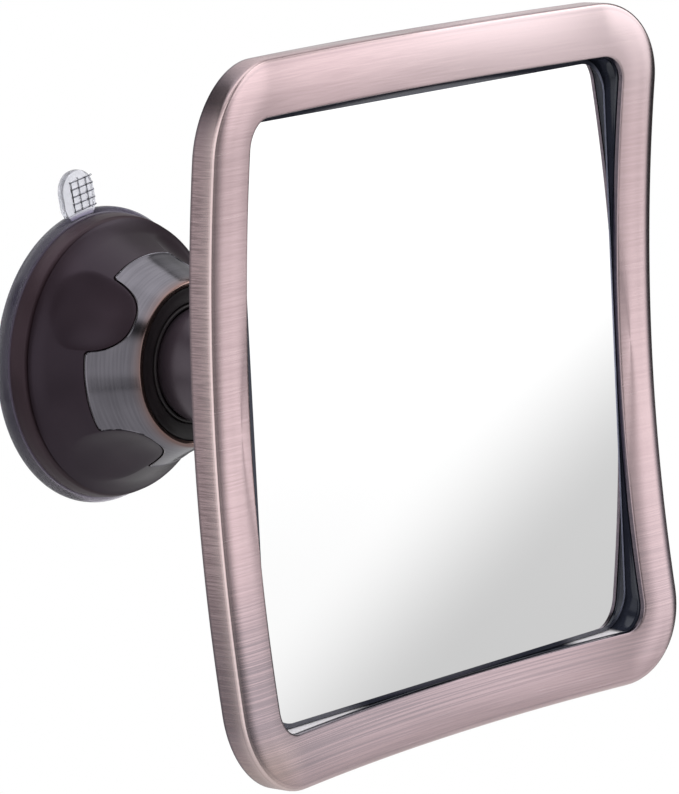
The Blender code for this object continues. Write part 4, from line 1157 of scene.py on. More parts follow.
@dataclass
class TwistLock:
    """The twist knob with its four dents, and the crown whose lugs lie between them.

    A point of the crown's mouth is how far it lies out from the mouth's radius and back from its
    front, how much rubbing it shows and how much painted edge highlight it has. A point of its
    bead is the share of the crown's height over the knob, how far it lies in front of the crown's
    edge and how much painted edge highlight it has.
    """

    back: float = 0.0096
    plate_back: float = 0.0104
    plate_front: float = 0.0129
    foot_radius: float = 0.0399
    flare: float = 0.0016
    flare_height: float = 0.0045
    sag: float = 0.0010
    top: float = 0.0358
    skirt_wall: float = 0.0040
    inner_foot: float = 0.0330
    inner_top: float = 0.0208
    hub_bore: float = 0.0105
    cam_outer: float = 0.0150
    cam_low: float = 0.0154
    cam_rise: float = 0.0030
    seat_drop: float = 0.0015
    dents: int = 4
    dent_angle: float = 145.0
    dent_half: float = 22.0
    dent_middle: float = 0.0205
    dent_rise: float = 0.0143
    dent_drop: float = 0.0085
    dent_depth: float = 0.0026
    fullness: float = 2.3
    lug_end: float = 0.0232
    lug_corner: float = 0.0014
    crown_front: float = 0.0396
    crown_radius: float = 0.0246
    crown_bore: float = 0.0232
    crown_wall: float = 0.0014
    crown_proud: float = 0.0002
    gap: float = 0.0003
    dent_columns: int = 26
    corner_columns: int = 8
    lug_columns: int = 9
    dent_rows: int = 34
    seat_rows: int = 4
    shell_rows: int = 18
    inner_rows: int = 5
    rub_reach: float = 0.0042
    rub_share: float = 0.75
    dent_softness: float = 1.25
    foot_round: float = 0.0006
    foot_tuck: Span = (0.0001, 0.0002)
    crown_tuck: float = 0.0002
    crown_bead: tuple[Triple, ...] = (
        (0.6, 0.00008, 0.9), (1.0, 0.00025, 0.5), (1.0, 0.0004, 0.0))
    tuck_highlight: float = 0.5
    bore_rub: float = 0.2
    shell_start: float = 0.0006
    shell_stop: float = 0.0007
    mouth_outer: tuple[Point, ...] = (
        (0.0001, 0.0003, 0.8, 0.0), (-0.0003, 0.00005, 1.0, 0.1), (-0.0006, 0.0, 1.0, 0.1))
    mouth_inner: tuple[Point, ...] = (
        (0.0003, 0.00025, 1.0, 0.0), (0.0, 0.0006, 0.9, 0.0), (0.0, 0.0015, 0.5, 0.0))

    def build(self) -> None:
        """Build and dress the knob and its crown."""
        angles = self.angles()
        knob = self.lathe("knob_body", self.knob_section, angles)
        dress(knob, Look.DARK, "knob", "twist_knob")
        crown = self.lathe("crown_shell", self.crown_section, angles)
        dress(crown, Look.GUNMETAL, "knob", "crown")

    def lathe(self, name: str, section_at: Callable[[float], list[Point]],
              angles: Sequence[float]) -> bpy.types.Object:
        """Turn a section that changes with the angle.

        Args:
            name: The piece's name.
            section_at: Gives each point at an angle: radius, depth, its rubbing and its painted
                edge highlight.
            angles: The angles of its columns.

        Returns:
            The piece.
        """
        sections = [section_at(angle) for angle in angles]
        rings: list[Ring] = []
        for row in range(len(sections[0])):
            rings.append([on_axis(s[row][0], a, s[row][1]) for a, s in zip(angles, sections)])
        shape = Shape().add_rings(rings)
        for column, mask in ((2, "worn_and_highlit"), (3, "edge_highlight")):
            shape.masks[mask] = [
                s[row][column] for row in range(len(sections[0])) for s in sections]
        return shape.build(name)

    def radius(self, depth: float) -> float:
        """Give the knob's plain outer radius, before its dents.

        Args:
            depth: The depth.

        Returns:
            The radius there.
        """
        share = (depth - self.back) / (self.crown_front - self.back)
        radius = self.foot_radius + (self.crown_radius - self.foot_radius) * share
        radius -= self.sag * 4.0 * share * (1.0 - share)
        flare = 1.0 - (depth - self.back) / self.flare_height
        return radius + self.flare * max(flare, 0.0) ** 2

    def dent_share(self, angle: float) -> float:
        """Give the distance to the nearest dent's middle.

        Args:
            angle: The angle round the axis.

        Returns:
            The distance, in half widths of a dent.
        """
        pitch = 2.0 * pi / self.dents
        offset = (angle - radians(self.dent_angle) + pitch / 2.0) % pitch - pitch / 2.0
        return abs(offset) / radians(self.dent_half)

    def dent(self, angle: float, depth: float) -> float:
        """Give how deep a dent is pressed.

        Args:
            angle: The angle round the axis.
            depth: The depth.

        Returns:
            The knob's loss of radius there.
        """
        half = self.dent_rise if depth > self.dent_middle else self.dent_drop
        along = abs(depth - self.dent_middle) / half
        reach = self.dent_share(angle) ** self.fullness + along ** self.fullness
        return self.dent_depth * max(1.0 - reach, 0.0) ** self.dent_softness

    def crown_edge(self, angle: float) -> float:
        """Give the crown's edge, which follows a dent's rim or a lug's rounded end.

        Args:
            angle: The angle round the axis.

        Returns:
            The edge's depth there.
        """
        share = self.dent_share(angle)
        if share < self.corner_share():
            rim = (1.0 - share ** self.fullness) ** (1.0 / self.fullness)
            return self.dent_middle + self.dent_rise * rim
        turn = (share - self.corner_share()) * radians(self.dent_half)
        aside = max(self.lug_corner - turn * self.radius(self.lug_end), 0.0)
        return self.lug_end + self.lug_corner - (self.lug_corner ** 2 - aside ** 2) ** 0.5

    def corner_share(self) -> float:
        """Return the share of a dent's half width at which the lug's corner starts."""
        rim = (self.lug_end + self.lug_corner - self.dent_middle) / self.dent_rise
        return (1.0 - rim ** self.fullness) ** (1.0 / self.fullness)

    def angles(self) -> list[float]:
        """Lay out the columns, close together where the crown's edge is steep.

        Returns:
            The columns' angles.
        """
        steepest = asin(self.corner_share() ** (self.fullness / 2.0))
        halves = []
        for k in range(self.dent_columns + 1):
            turn = steepest * k / self.dent_columns
            halves.append(radians(self.dent_half) * sin(turn) ** (2.0 / self.fullness))
        corner, start = self.lug_corner / self.radius(self.lug_end), halves[-1]
        halves += [start + corner * (1.0 - cos(pi / 2.0 * k / self.corner_columns))
                   for k in range(1, self.corner_columns + 1)]
        start, ridge = halves[-1], pi / self.dents
        halves += [start + (ridge - start) * k / self.lug_columns
                   for k in range(1, self.lug_columns + 1)]
        around = [-a for a in halves[:0:-1]] + halves[:-1]
        pitch = 2.0 * pi / self.dents
        middles = [radians(self.dent_angle) + pitch * k for k in range(self.dents)]
        return [middle + offset for middle in middles for offset in around]

    def cam(self, angle: float) -> float:
        """Return the cam's height at an angle."""
        share = (angle / (pi / 2.0)) % 2.0
        return self.cam_low + self.cam_rise * (share if share < 1.0 else 2.0 - share)

    def knob_section(self, angle: float) -> list[Point]:
        """Give the knob's section, with neither rubbing nor painted edge highlight.

        Args:
            angle: The angle round the axis.

        Returns:
            The section's points.
        """
        edge = self.crown_edge(angle)
        foot, (aside, above) = self.foot_radius + self.flare, self.foot_tuck
        loop = [(foot - self.skirt_wall, self.back), (foot - self.foot_round, self.back),
                (foot - aside, self.back + above)]
        start = self.back + self.foot_round
        for k in range(self.dent_rows + 1):
            depth = start + (edge - start) * k / self.dent_rows
            loop.append((self.radius(depth) - self.dent(angle, depth), depth))
        for k in range(self.seat_rows + 1):
            depth = edge + (self.top - edge) * k / self.seat_rows
            loop.append((self.radius(depth) - self.seat_drop, depth))
        loop += [(self.inner_top, self.top), (self.inner_foot, self.plate_front),
                 (self.cam_outer, self.plate_front), (self.cam_outer, self.cam(angle)),
                 (self.hub_bore, self.cam(angle)), (self.hub_bore, self.plate_back),
                 (foot - self.skirt_wall, self.plate_back)]
        return [(radius, depth, 0.0, 0.0) for radius, depth in loop]

    def crown_section(self, angle: float) -> list[Point]:
        """Give the crown's section, with the rubbing and the painted edge highlight of each point.

        Args:
            angle: The angle round the axis.

        Returns:
            The section's points.
        """
        aside = self.gap / self.crown_radius
        edge = max(self.crown_edge(angle - aside), self.crown_edge(angle + aside)) + self.gap
        rise, front = self.crown_proud, self.crown_front
        loop = [(self.radius(edge) - self.crown_tuck, edge, 0.0, self.tuck_highlight)]
        loop += [(self.radius(edge) + share * rise, edge + above, 0.0, edge_highlight)
                 for share, above, edge_highlight in self.crown_bead]
        start = edge + self.shell_start
        for k in range(self.shell_rows + 1):
            depth = start + (front - self.shell_stop - start) * k / self.shell_rows
            rub = max(0.0, 1.0 - (front - depth) / self.rub_reach)
            loop.append((self.radius(depth) + rise, depth, self.rub_share * rub * rub, 0.0))
        for side, points in ((self.crown_radius, self.mouth_outer),
                             (self.crown_bore, self.mouth_inner)):
            loop += [(side + out, front - back, rub, edge_highlight) for out, back, rub, edge_highlight in points]
        loop.append((self.crown_bore, self.top + self.gap, self.bore_rub, 0.0))
        for k in range(self.inner_rows + 1):
            depth = self.top + self.gap + (edge - self.top - self.gap) * k / self.inner_rows
            loop.append((self.radius(depth) + rise - self.crown_wall, depth, 0.0, 0.0))
        return loop


@dataclass
class BallJoint:
    """The dish in the crown's mouth and the ball that turns in it."""

    ball_depth: float = 0.0466
    shell_radius: float = 0.0182
    shell_inner: float = 0.0125
    skirt_opening: float = 62.0
    ring_radius: float = 0.0160
    ring_opening: float = 52.0
    seam: float = 0.0398
    neck_radius: float = 0.0090
    neck_end: float = 0.0662
    neck_round: float = 0.0004
    neck_tuck: float = 0.0001
    skirt_lip: float = 0.01
    bore: float = 0.0063
    gap: float = 0.0003
    dish_section: tuple[Triple, ...] = (
        (0.0229, 0.0389, 0.0003),
        (0.0229, 0.0374, 0.0002),
        (0.0186, 0.0364, 0.0004),
        (0.0176, 0.0318, 0.0004),
        (0.0132, 0.0260, 0.0006),
        (0.0045, 0.0260, 0.0),
        (0.0045, 0.0285, 0.0002),
        (0.0122, 0.0285, 0.0010),
        (0.0156, 0.0318, 0.0010),
        (0.0163, 0.0374, 0.0002),
        (0.01815, 0.0374, 0.0001),
        (0.01815, 0.0383, 0.0003),
        (0.0205, 0.0382, 0.0016),
    )
    seal_radius: float = 0.01725
    seal_depth: float = 0.0383
    seal_wire: float = 0.0006
    seal_sides: int = 12
    inner_rows: int = 20
    outer_rows: int = 40
    skirt_rows: int = 6
    ring_rows: int = 8
    steps: int = 144

    def build(self) -> None:
        """Build and dress every piece of the joint."""
        self.build_dish()
        self.build_shell()
        refinish("ball_stud", Look.STEEL)
        refinish("ball_seat", Look.NYLON)

    def arc(self, radius: float, start: float, end: float, steps: int) -> Section:
        """Return an arc of the ball's section, by its angles from the axis's wall side."""
        turns = [start + (end - start) * k / steps for k in range(steps + 1)]
        return [(radius * sin(a), self.ball_depth - radius * cos(a)) for a in turns]

    def build_dish(self) -> None:
        """Build the black dish with the ball's well, and the ring at the well's mouth."""
        dish = turned("dish_cup", self.dish_section, self.steps)
        dress(dish, Look.BOWL, "base", "dish")
        section = [(self.seal_radius + self.seal_wire * cos(angle),
                    self.seal_depth + self.seal_wire * sin(angle))
                   for angle in even_angles(self.seal_sides)]
        ring = Shape().add_turned(section, self.steps).build("dust_seal")
        dress(ring, Look.BOWL, "base", "dust_ring")

    def build_shell(self) -> None:
        """Build the hollow ball and the ring that closes its back."""
        low = self.ball_depth - self.seam
        neck = pi - asin(self.neck_radius / self.shell_radius)
        mouth = pi - asin(self.bore / self.shell_inner)
        section = self.arc(self.shell_inner, acos(low / self.shell_inner), mouth,
                           self.inner_rows)
        section += [(self.bore, self.neck_end),
                    (self.neck_radius - self.neck_round, self.neck_end),
                    (self.neck_radius - self.neck_tuck, self.neck_end - self.neck_tuck),
                    (self.neck_radius, self.neck_end - self.neck_round)]
        skirt, inner = radians(self.skirt_opening), self.ring_radius + self.gap
        section += self.arc(self.shell_radius, neck, skirt, self.outer_rows)
        section += self.arc(inner, skirt + self.skirt_lip, acos(low / inner),
                            self.skirt_rows)
        shell = Shape().add_turned(section, self.steps).build("ball_shell")
        dress(shell, Look.BALL, "arm", "ball_housing")
        back, rows = low + self.gap, self.ring_rows
        opening = radians(self.ring_opening)
        section = self.arc(self.ring_radius, opening, acos(back / self.ring_radius), rows)
        section += self.arc(self.shell_inner, acos(back / self.shell_inner), opening, rows)
        ring = Shape().add_turned(section, self.steps).build("ball_back_ring")
        dress(ring, Look.BALL, "arm", "housing_ring")


@dataclass
class Arm:
    """The short arm and the swivel that joins it to the head."""

    radius: float = 0.0075
    spigot: float = 0.0060
    back: float = 0.0600
    shoulder: float = 0.0665
    flange_back: float = 0.1000
    flange_front: float = 0.1023
    flange_radius: float = 0.0110
    end: float = 0.1100
    bore: float = 0.0033
    bore_end: float = 0.1040
    mount_back: float = 0.1096
    mount_front: float = 0.1136
    mount_radius: float = 0.0270
    collar_radius: float = 0.0150
    collar_back: float = 0.1036
    mount_bore: float = 0.0063
    pocket_radius: float = 0.0100
    pocket_back: float = 0.1103
    chamfer: float = 0.0010
    flare: float = 0.0040
    flare_round: float = 0.0030
    collar_round: float = 0.0008
    wear_and_highlight: float = 0.7
    wear_start: float = 0.0020
    steps: int = 128

    def build(self) -> None:
        """Build and dress the arm, its mount and what holds them together."""
        corners = [
            (0.0, self.back, 0.0),
            (self.spigot, self.back, EASED),
            (self.spigot, self.shoulder, 0.0),
            (self.radius, self.shoulder, EASED),
            (self.radius, self.flange_back - self.flare, self.flare_round),
            (self.flange_radius, self.flange_back, SOFT),
            (self.flange_radius, self.flange_front, SOFT),
            (self.spigot, self.flange_front, 0.0),
            (self.spigot, self.end, CRISP),
            (self.bore, self.end, CRISP),
            (self.bore, self.bore_end, 0.0),
            (0.0, self.bore_end, 0.0),
        ]
        section = filleted(corners)
        start = self.radius + self.wear_start
        worn_and_highlit = [self.wear_and_highlight if radius > start else 0.0 for radius, _ in section]
        arm = Shape().add_turned(section, self.steps, {"worn_and_highlit": worn_and_highlit}).build("arm_tube")
        dress(arm, Look.GUNMETAL, "arm", "arm")
        corners = [
            (self.mount_bore, self.collar_back, 0.0),
            (self.collar_radius - self.chamfer, self.collar_back, SOFT),
            (self.collar_radius, self.collar_back + self.chamfer, SOFT),
            (self.collar_radius, self.mount_back, self.collar_round),
            (self.mount_radius - self.chamfer, self.mount_back, SOFT),
            (self.mount_radius, self.mount_back + self.chamfer, SOFT),
            (self.mount_radius, self.mount_front, CRISP),
            (self.pocket_radius, self.mount_front, 0.0),
            (self.pocket_radius, self.pocket_back, 0.0),
            (self.mount_bore, self.pocket_back, 0.0),
        ]
        mount = turned("swivel_mount", corners, self.steps)
        dress(mount, Look.COVER, "head", "back_mount")
        refinish("arm_screw", Look.STEEL)
        refinish("friction_washer", Look.NYLON)
        refinish("spring_washer", Look.STEEL)
        refinish("swivel_screw", Look.STEEL)


@dataclass
class ScrewSet:
    """Equal pan head screws with a cross recess, driven from behind.

    The shares are of the shank's radius, the head's radius or the head's height.
    """

    name: str
    centres: Sequence[Span]
    seat: float
    end: float
    shank: float
    head: float
    head_height: float
    tip_share: float = 0.7
    taper_share: float = 0.6
    side_share: float = 0.45
    round_share: float = 0.4
    dome_share: float = 0.55
    rim_round: float = 0.0001
    recess_length: float = 0.62
    recess_width: float = 0.15
    recess_above: float = 0.0003
    recess_depth: float = 0.55
    recess_corner: float = 0.3
    recess_taper: float = 0.5
    turn: float = 0.4
    steps: int = 32

    def build(self) -> None:
        """Build and dress each screw."""
        for k, (across, up) in enumerate(self.centres, 1):
            top, fillet = self.seat - self.head_height, self.head_height * self.round_share
            corners = [
                (0.0, self.end, 0.0),
                (self.shank * self.tip_share, self.end, 0.0),
                (self.shank, self.end - self.shank * self.taper_share, 0.0),
                (self.shank, self.seat, 0.0),
                (self.head, self.seat, self.rim_round),
                (self.head, self.seat - self.head_height * self.side_share, fillet),
                (self.head - self.head_height * self.dome_share, top, fillet),
                (0.0, top, 0.0),
            ]
            screw = turned(f"{self.name}_driven_{k}", corners, self.steps)
            carve(screw, [self.recess(top, turn) for turn in (self.turn, self.turn + pi / 2.0)])
            screw.data.transform(Matrix.Translation((across, 0.0, up)))
            dress(screw, Look.STEEL, "head", f"{self.name}_{k}")

    def recess(self, top: float, turn: float) -> bpy.types.Object:
        """Return one bar of the cross recess.

        Args:
            top: The depth of the head's top.
            turn: The bar's angle about the screw's axis.

        Returns:
            The tool.
        """
        rings: list[Ring] = []
        foot = self.recess_depth * self.head_height
        for share, depth in ((1.0, -self.recess_above), (self.recess_taper, foot)):
            long, wide = self.head * self.recess_length * share, self.head * self.recess_width
            outline = rounded_outline(long, wide, wide * self.recess_corner,
                                      sides=1, corners=3)
            rings.append([Vector((p.x, -top - depth, p.y)) for p in outline])
        bar = Shape().add_rings(rings, Ends.FILLED).build("recess_tool")
        bar.data.transform(Matrix.Rotation(turn, 4, "Y"))
        return bar


@dataclass
class MirrorHead:
    """The framed pane with its liner, board and back cover."""

    depth: float = 0.1249
    width: float = 0.1949
    height: float = 0.2030
    corner: float = 0.0250
    bow: float = 0.0090
    side_wall: float = 0.0072
    sheet: float = 0.0013
    crease: float = 0.0011
    margin: float = 0.0159
    rise: float = 0.0025
    fullness: float = 2.7
    edge_round: float = 0.0005
    opening_corner: float = 0.0079
    pane_front: float = 0.0081
    pane_thickness: float = 0.0030
    pane_corner: float = 0.0114
    pane_bevel: float = 0.0015
    pane_edge: float = 0.0006
    pane_sharp_deg: float = 8.0
    gap: float = 0.0003
    liner_wall: float = 0.0029
    lip_inset: float = 0.0001
    lip_drops: Span = (0.0002, 0.0006)
    lip_bow: float = 0.96
    ledge_width: float = 0.0026
    ledge_thickness: float = 0.0015
    ledge_corner: float = 0.0111
    cover_back: float = 0.0110
    cover_wall: float = 0.0020
    cover_rim: float = 0.0020
    cover_foot: float = 0.0070
    flat_inset: float = 0.0200
    flat_corner: float = 0.0120
    # Painted highlight on the side wall, rising towards the crease, and along the crease.
    wall_highlight: tuple[float, ...] = (0.0, 0.0, 0.0, 0.05, 0.15, 0.3, 0.5)
    crease_highlight: tuple[float, ...] = (0.3, 0.7, 0.7, 0.7, 0.3, 0.3)
    # Painted shade on the side wall's back edge, the first face row inside the crease and the lip
    # into the opening.
    wall_edge_shade: float = 0.9
    crease_edge_shade: float = 0.15
    lip_shade_rows: float = 4.0
    face_rows: int = 24
    face_step: int = 4
    lip_rows: int = 6
    liner_rows: int = 8
    cover_rows: int = 14
    sides: int = 40
    corners: int = 24
    posts: Span = (0.0620, 0.0650)
    post_screw: float = 0.0090
    screw_shank: float = 0.0015
    screw_height: float = 0.0018
    cover_screw_head: float = 0.0030
    mount_screw_head: float = 0.0028
    mount_circle: float = 0.0205
    mount_angle: float = 45.0
    mount_seat: float = 0.1093
    mount_screw_end: float = 0.1199

    def build(self) -> None:
        """Build and dress every piece of the head."""
        self.build_bezel()
        self.build_liner()
        self.build_pane()
        self.build_cover()
        refinish("backing_board", Look.BOARD)
        for k in (1, 2, 3):
            refinish(f"pane_tape_{k}", Look.FOAM)
        across, up = self.posts
        centres = [(x * across, z * up) for x in (-1, 1) for z in (-1, 1)]
        seat = self.depth - self.cover_back - self.gap
        ScrewSet("cover_screw", centres, seat, seat + self.post_screw, self.screw_shank,
                 self.cover_screw_head, self.screw_height).build()
        angles = [radians(self.mount_angle) + pi / 2.0 * k for k in range(4)]
        centres = [(self.mount_circle * cos(a), self.mount_circle * sin(a)) for a in angles]
        ScrewSet("mount_screw", centres, self.mount_seat, self.mount_screw_end,
                 self.screw_shank, self.mount_screw_head, self.screw_height).build()

    def ring(self, inset: float, corner: float, bow_share: float, level: float) -> Ring:
        """Return a ring of the head.

        Args:
            inset: The distance in from the frame's outer edge.
            corner: The corner radius.
            bow_share: How much of the frame's bow the ring follows.
            level: The distance in front of the crease surface.

        Returns:
            The ring's points.
        """
        outline = rounded_outline(
            self.width / 2.0 - inset, self.height / 2.0 - inset, corner, self.sides, self.corners)
        ring = []
        for point in outline:
            bow = self.bow * ((2.0 * point.x / self.width) ** 2
                              + (2.0 * point.y / self.height) ** 2)
            ring.append(Vector((point.x, -(self.depth + bow_share * bow + level), point.y)))
        return ring

    def frame_corner(self, inset: float) -> float:
        """Return the frame's corner radius at an inset."""
        return self.corner + (self.opening_corner - self.corner) * inset / self.margin

    def face_level(self, inset: float) -> float:
        """Return how far the domed face stands in front of the crease surface."""
        return self.rise * (1.0 - max(1.0 - inset / self.margin, 0.0) ** self.fullness)

    def build_bezel(self) -> None:
        """Build the frame with its side wall, soft crease and domed face."""
        # Each row is an inset, a level, a painted highlight share and a painted edge shade share.
        rows: list[Point] = []
        for k, wear_and_highlight in enumerate(self.wall_highlight):
            share = k / (len(self.wall_highlight) - 1)
            rows.append((0.0, -self.side_wall + (self.side_wall - self.crease) * share, wear_and_highlight,
                         self.wall_edge_shade if k == 0 else 0.0))
        turn, last = self.crease, self.margin - self.edge_round
        for k, wear_and_highlight in enumerate(self.crease_highlight, 1):
            share = k / len(self.crease_highlight)
            angle, slope = pi / 2.0 * share, self.face_level(turn) * share
            rows.append((turn * (1.0 - cos(angle)), -turn * (1.0 - sin(angle)) + slope, wear_and_highlight, 0.0))
        for k in range(1, self.face_rows + 1):
            inset = turn + (last - turn) * k / self.face_rows
            rows.append((inset, self.face_level(inset), 0.0,
                         self.crease_edge_shade if k == 1 else 0.0))
        for k in range(1, self.lip_rows + 1):
            angle = pi / 2.0 * k / self.lip_rows
            rows.append((last + self.edge_round * sin(angle),
                         self.rise - self.edge_round * (1.0 - cos(angle)), 0.0,
                         min(1.0, k / self.lip_shade_rows)))
        rows.append((self.margin, self.rise - self.sheet, 0.0, 1.0))
        for k in range(self.face_rows, -1, -self.face_step):
            inset = turn + (last - turn) * k / self.face_rows
            rows.append((inset, self.face_level(inset) - self.sheet, 0.0, 0.0))
        rows.append((self.sheet, -self.sheet, 0.0, 0.0))
        rows.append((self.sheet, -self.side_wall, 0.0, 0.0))
        rings = [self.ring(a, self.frame_corner(a), 1.0, level) for a, level, _, _ in rows]
        masks = {"worn_and_highlit": [row[2] for row in rows], "painted_shade": [row[3] for row in rows]}
        bezel = Shape().add_rings(rings, masks=masks).build("frame_bezel")
        dress(bezel, Look.COPPER, "head", "bezel")

    def build_liner(self) -> None:
        """Build the glossy black wall round the pane and the ledge under its edge."""
        front = self.pane_front - self.pane_thickness - self.gap
        back = front - self.ledge_thickness
        outer, ledge = self.margin - self.liner_wall, self.margin + self.ledge_width
        under = self.rise - self.sheet - self.gap
        small = self.ledge_corner - self.ledge_width
        inset, (first, second) = self.margin + self.lip_inset, self.lip_drops
        rings = [self.ring(inset, self.opening_corner, 1.0, under - first),
                 self.ring(self.margin, self.opening_corner, self.lip_bow, under - second)]
        for k in range(1, self.liner_rows + 1):
            share = 1.0 - k / self.liner_rows
            corner = self.ledge_corner + (self.opening_corner - self.ledge_corner) * share
            rings.append(self.ring(self.margin, corner, share, front + (under - front) * share))
        rings += [
            self.ring(ledge, small, 0.0, front), self.ring(ledge, small, 0.0, back),
            self.ring(outer, self.ledge_corner, 0.0, back),
            self.ring(outer, self.frame_corner(outer), 1.0,
                      self.face_level(outer) - self.sheet - self.gap),
        ]
        liner = Shape().add_rings(rings).build("liner_wall")
        dress(liner, Look.BLACK, "head", "liner")

    def build_pane(self) -> None:
        """Build the silvered pane and its ground edge."""
        inset, bevel = self.margin + self.gap, self.pane_bevel
        back = self.pane_front - self.pane_thickness
        rings = [self.ring(inset, self.pane_corner, 0.0, back),
                 self.ring(inset, self.pane_corner, 0.0, self.pane_front - self.pane_edge),
                 self.ring(inset + bevel, self.pane_corner - bevel, 0.0, self.pane_front)]
        pane = Shape().add_rings(rings, Ends.FILLED).build("pane_glass")
        dress(pane, Look.SILVER, "head", "mirror_pane")
        smooth(pane, self.pane_sharp_deg)
        pane.data.materials.append(Look.GROUND.material())
        for face in pane.data.polygons:
            if len(face.vertices) == 4:
                face.material_index = 1

    def build_cover(self) -> None:
        """Build the tray that closes the head's back."""
        rim = self.sheet + self.gap
        outside = [self.ring(rim, self.frame_corner(rim), 1.0, -self.cover_rim)]
        inside = [self.ring(rim + self.cover_wall, self.frame_corner(rim + self.cover_wall), 1.0,
                            -self.cover_rim)]
        for k in range(self.cover_rows + 1):
            share = k / self.cover_rows
            inset = rim + (self.flat_inset - rim) * share
            corner = self.frame_corner(rim)
            corner += (self.flat_corner - corner) * share
            level = -self.cover_foot - (self.cover_back - self.cover_foot) * share
            outside.append(self.ring(inset, corner, 1.0 - share, level))
            inside.append(self.ring(
                inset + self.cover_wall, corner, 1.0 - share, level + self.cover_wall))
        cover = Shape().add_rings(outside[::-1] + inside, Ends.FILLED).build("back_tray")
        dress(cover, Look.COVER, "head", "back_cover")


@dataclass(frozen=True)
class Lamp:
    """A soft square lamp that faces the object."""

    name: str
    hung_at: Triple
    size: float
    power: float
    target: Triple = (0.0, -0.07, 0.0)

    def build(self) -> None:
        """Hang the lamp, unseen by the camera."""
        data = bpy.data.lights.new(self.name, "AREA")
        data.size = self.size
        data.energy = self.power
        lamp = place(self.name, data)
        lamp.location = self.hung_at
        aim = Vector(self.target) - Vector(self.hung_at)
        lamp.rotation_euler = aim.to_track_quat("-Z", "Y").to_euler()
        lamp.visible_camera = False
        lamp.visible_glossy = False


@dataclass(frozen=True)
class Patch:
    """A field on the room's walls, by the degrees over which it fades in."""

    turn: Span
    height: Span
    gain: float

    def on(self, turn: Wire, height: Wire) -> Wire:
        """Return the field's share in a direction."""
        return turn.between(*self.turn) * height.between(*self.height) * self.gain


@dataclass(frozen=True)
class Room:
    """The bright room around the object, which its metal and its glass mirror.

    A span is the degrees over which a field fades in: of turn from -Y to +X, or of height. A wall
    step is a span of turn and what it adds to the walls' brightness.
    """

    wall: float = 0.60
    wall_steps: tuple[Triple, ...] = (
        (-130.0, -112.0, 0.20), (-60.0, -42.0, 0.35), (0.0, 11.0, -1.07), (8.0, 26.0, 0.10),
        (52.0, 64.0, -0.12))
    far_wall: Span = (105.0, 130.0)
    far_wall_up: Span = (-3.0, 4.0)
    far_wall_light: Span = (0.06, 0.55)
    low_wall: Patch = Patch((-75.0, -115.0), (-8.0, -14.0), 0.42)
    low_corner: Patch = Patch((-50.0, -64.0), (-8.0, -12.0), 0.28)
    window_left: Span = (29.0, 41.0)
    window_right: Span = (68.0, 65.0)
    window_light: float = 0.48
    window_low: Span = (-20.0, -14.0)
    window_high: Span = (-14.0, 2.0)
    window_rise: float = 0.5
    window_glow: Patch = Patch((48.0, 60.0), (-4.0, 8.0), 0.12)
    board_slope: float = 0.975
    board_drop: float = 58.6
    board_top: Span = (0.0, -2.4)
    board_left: Span = (45.0, 46.0)
    board_right: Span = (54.0, 52.5)
    board_foot: Span = (-18.0, -15.0)
    board_shade: float = 0.37
    behind: Span = (20.0, 45.0)
    sky: Span = (28.0, 42.0)
    sky_shade: float = 0.92
    beam: Span = (44.0, 45.5)
    ceiling: Span = (50.0, 60.0)
    ceiling_light: float = 1.15
    ceiling_behind: Span = (48.0, 49.5)
    ceiling_behind_light: float = 1.35
    floor: Span = (-15.0, -26.0)
    floor_shade: float = 0.35
    loft: Span = (24.0, 34.0)
    loft_light: float = 0.95
    loft_end: Span = (70.0, 95.0)
    loft_end_shade: float = 0.7

    def brightness(self, graph: Graph) -> Wire:
        """Write the room's nodes.

        Args:
            graph: The world's graph.

        Returns:
            The brightness in a direction.
        """
        direction = graph.node("ShaderNodeTexCoord", {}, {}, "Generated")
        x, y, z = (graph.node("ShaderNodeSeparateXYZ", {}, {0: direction}, k) for k in range(3))
        turn = graph.math("ARCTAN2", x, y * -1.0) * degrees(1.0)
        height = graph.math("ARCSINE", z) * degrees(1.0)
        walls: Value = self.wall
        for start, end, gain in self.wall_steps:
            walls = walls + turn.between(start, end) * gain
        low_light, more_light = self.far_wall_light
        far = low_light + height.between(*self.far_wall_up) * more_light
        walls = walls + turn.between(*self.far_wall) * far
        low = self.low_wall.on(turn, height) + self.low_corner.on(turn, height)
        window = turn.between(*self.window_left) * turn.between(*self.window_right)
        front = (self.window_light + height.between(*self.window_low) * self.window_rise
                 + height.between(*self.window_high) * self.window_rise)
        front = front * (1.0 + self.window_glow.on(turn, height))
        slant = height - turn * self.board_slope + self.board_drop
        board = (slant.between(*self.board_top) * turn.between(*self.board_left)
                 * turn.between(*self.board_right) * height.between(*self.board_foot))
        front = front * window * (1.0 - board * self.board_shade)
        behind = turn.between(*self.behind)
        sky = 1.0 - height.between(*self.sky) * self.sky_shade * (1.0 - behind)
        beam = height.between(*self.beam) * behind
        ceiling = height.between(*self.ceiling) * (1.0 - behind) * self.ceiling_light
        ceiling = ceiling + (height.between(*self.ceiling_behind) * behind
                             * self.ceiling_behind_light)
        floor = 1.0 - height.between(*self.floor) * self.floor_shade
        walls = walls * (1.0 - low) * (1.0 - window) * floor
        loft = height.between(*self.loft) * behind
        loft = loft * (self.loft_light - turn.between(*self.loft_end) * self.loft_end_shade)
        return ((walls + front) * sky + loft) * (1.0 - beam) + ceiling


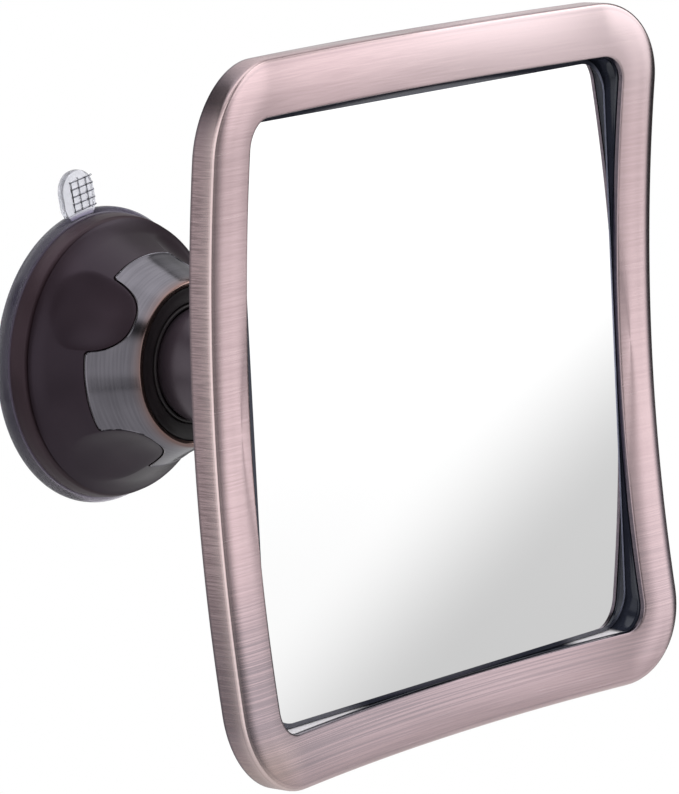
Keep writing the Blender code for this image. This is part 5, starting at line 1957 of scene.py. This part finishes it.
@dataclass
class Studio:
    """The camera, the lamps, the white surroundings and the floor."""

    camera_place: Triple = (-1.14771, -1.10418, 0.25229)
    camera_right: Triple = (0.65333, -0.75543, -0.04991)
    camera_up: Triple = (0.15844, 0.07197, 0.98474)
    camera_back: Triple = (-0.74031, -0.65127, 0.16671)
    lens: float = 243.165
    sensor_width: float = 36.0
    clip_end: float = 50.0
    floor_level: float = -0.60
    floor_radius: float = 1.30
    floor_rings: Triple = (0.0, 0.5, 1.0)
    floor_steps: int = 96
    white: Colour = (1.0, 1.0, 1.0)
    room: Room = Room()
    lamps: tuple[Lamp, ...] = (
        Lamp("key_lamp", (-0.9, -1.1, 1.3), 0.8, 12.0),
        Lamp("front_lamp", (0.50, -0.70, 0.60), 0.45, 3.0),
        Lamp("top_lamp", (-0.3, 0.4, 1.3), 0.8, 6.0),
    )

    def build(self) -> None:
        """Set up everything around the object."""
        self.build_camera()
        self.build_world()
        self.build_floor()
        for lamp in self.lamps:
            lamp.build()
        bpy.context.scene.view_settings.view_transform = "Standard"

    def build_camera(self) -> None:
        """Set the camera where the photograph was taken from."""
        camera = place("camera", bpy.data.cameras.new("camera"))
        camera.data.lens = self.lens
        camera.data.sensor_width = self.sensor_width
        camera.data.clip_end = self.clip_end
        axes = Matrix((self.camera_right, self.camera_up, self.camera_back)).transposed()
        camera.matrix_world = Matrix.Translation(self.camera_place) @ axes.to_4x4()
        bpy.context.scene.camera = camera

    def build_world(self) -> None:
        """Light the set with a soft room, and show the camera plain white."""
        world = bpy.data.worlds.new("set")
        bpy.context.scene.world = world
        world.use_nodes = True
        graph = Graph(world.node_tree)
        seen = graph.math("MINIMUM", graph.path("Is Camera Ray")
                          + graph.path("Is Transmission Ray"), 1.0)
        room = self.room.brightness(graph)
        strength = room + seen * (1.0 - room)
        background = world.node_tree.nodes["Background"]
        graph.tree.links.new(strength.socket, background.inputs["Strength"])
        background.inputs["Color"].default_value = (*self.white, 1.0)

    def build_floor(self) -> None:
        """Lay a pale floor under the object."""
        rings: list[Ring] = []
        for share in self.floor_rings:
            radius = self.floor_radius * share
            rings.append([Vector((radius * cos(a), radius * sin(a), self.floor_level))
                          for a in even_angles(self.floor_steps)])
        floor = Shape().add_rings(rings, Ends.OPEN).build("floor")
        floor.data.materials.append(Look.FLOOR.material())


def main() -> None:
    """Build the studio and the mirror, piece by piece."""
    logging.basicConfig(level=logging.INFO, format="%(message)s")
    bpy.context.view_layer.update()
    Studio().build()
    for part in (SuctionBase(), TwistLock(), BallJoint(), Arm(), MirrorHead()):
        part.build()
        LOG.info("%s is done", type(part).__name__)


if __name__ == "__main__":
    main()
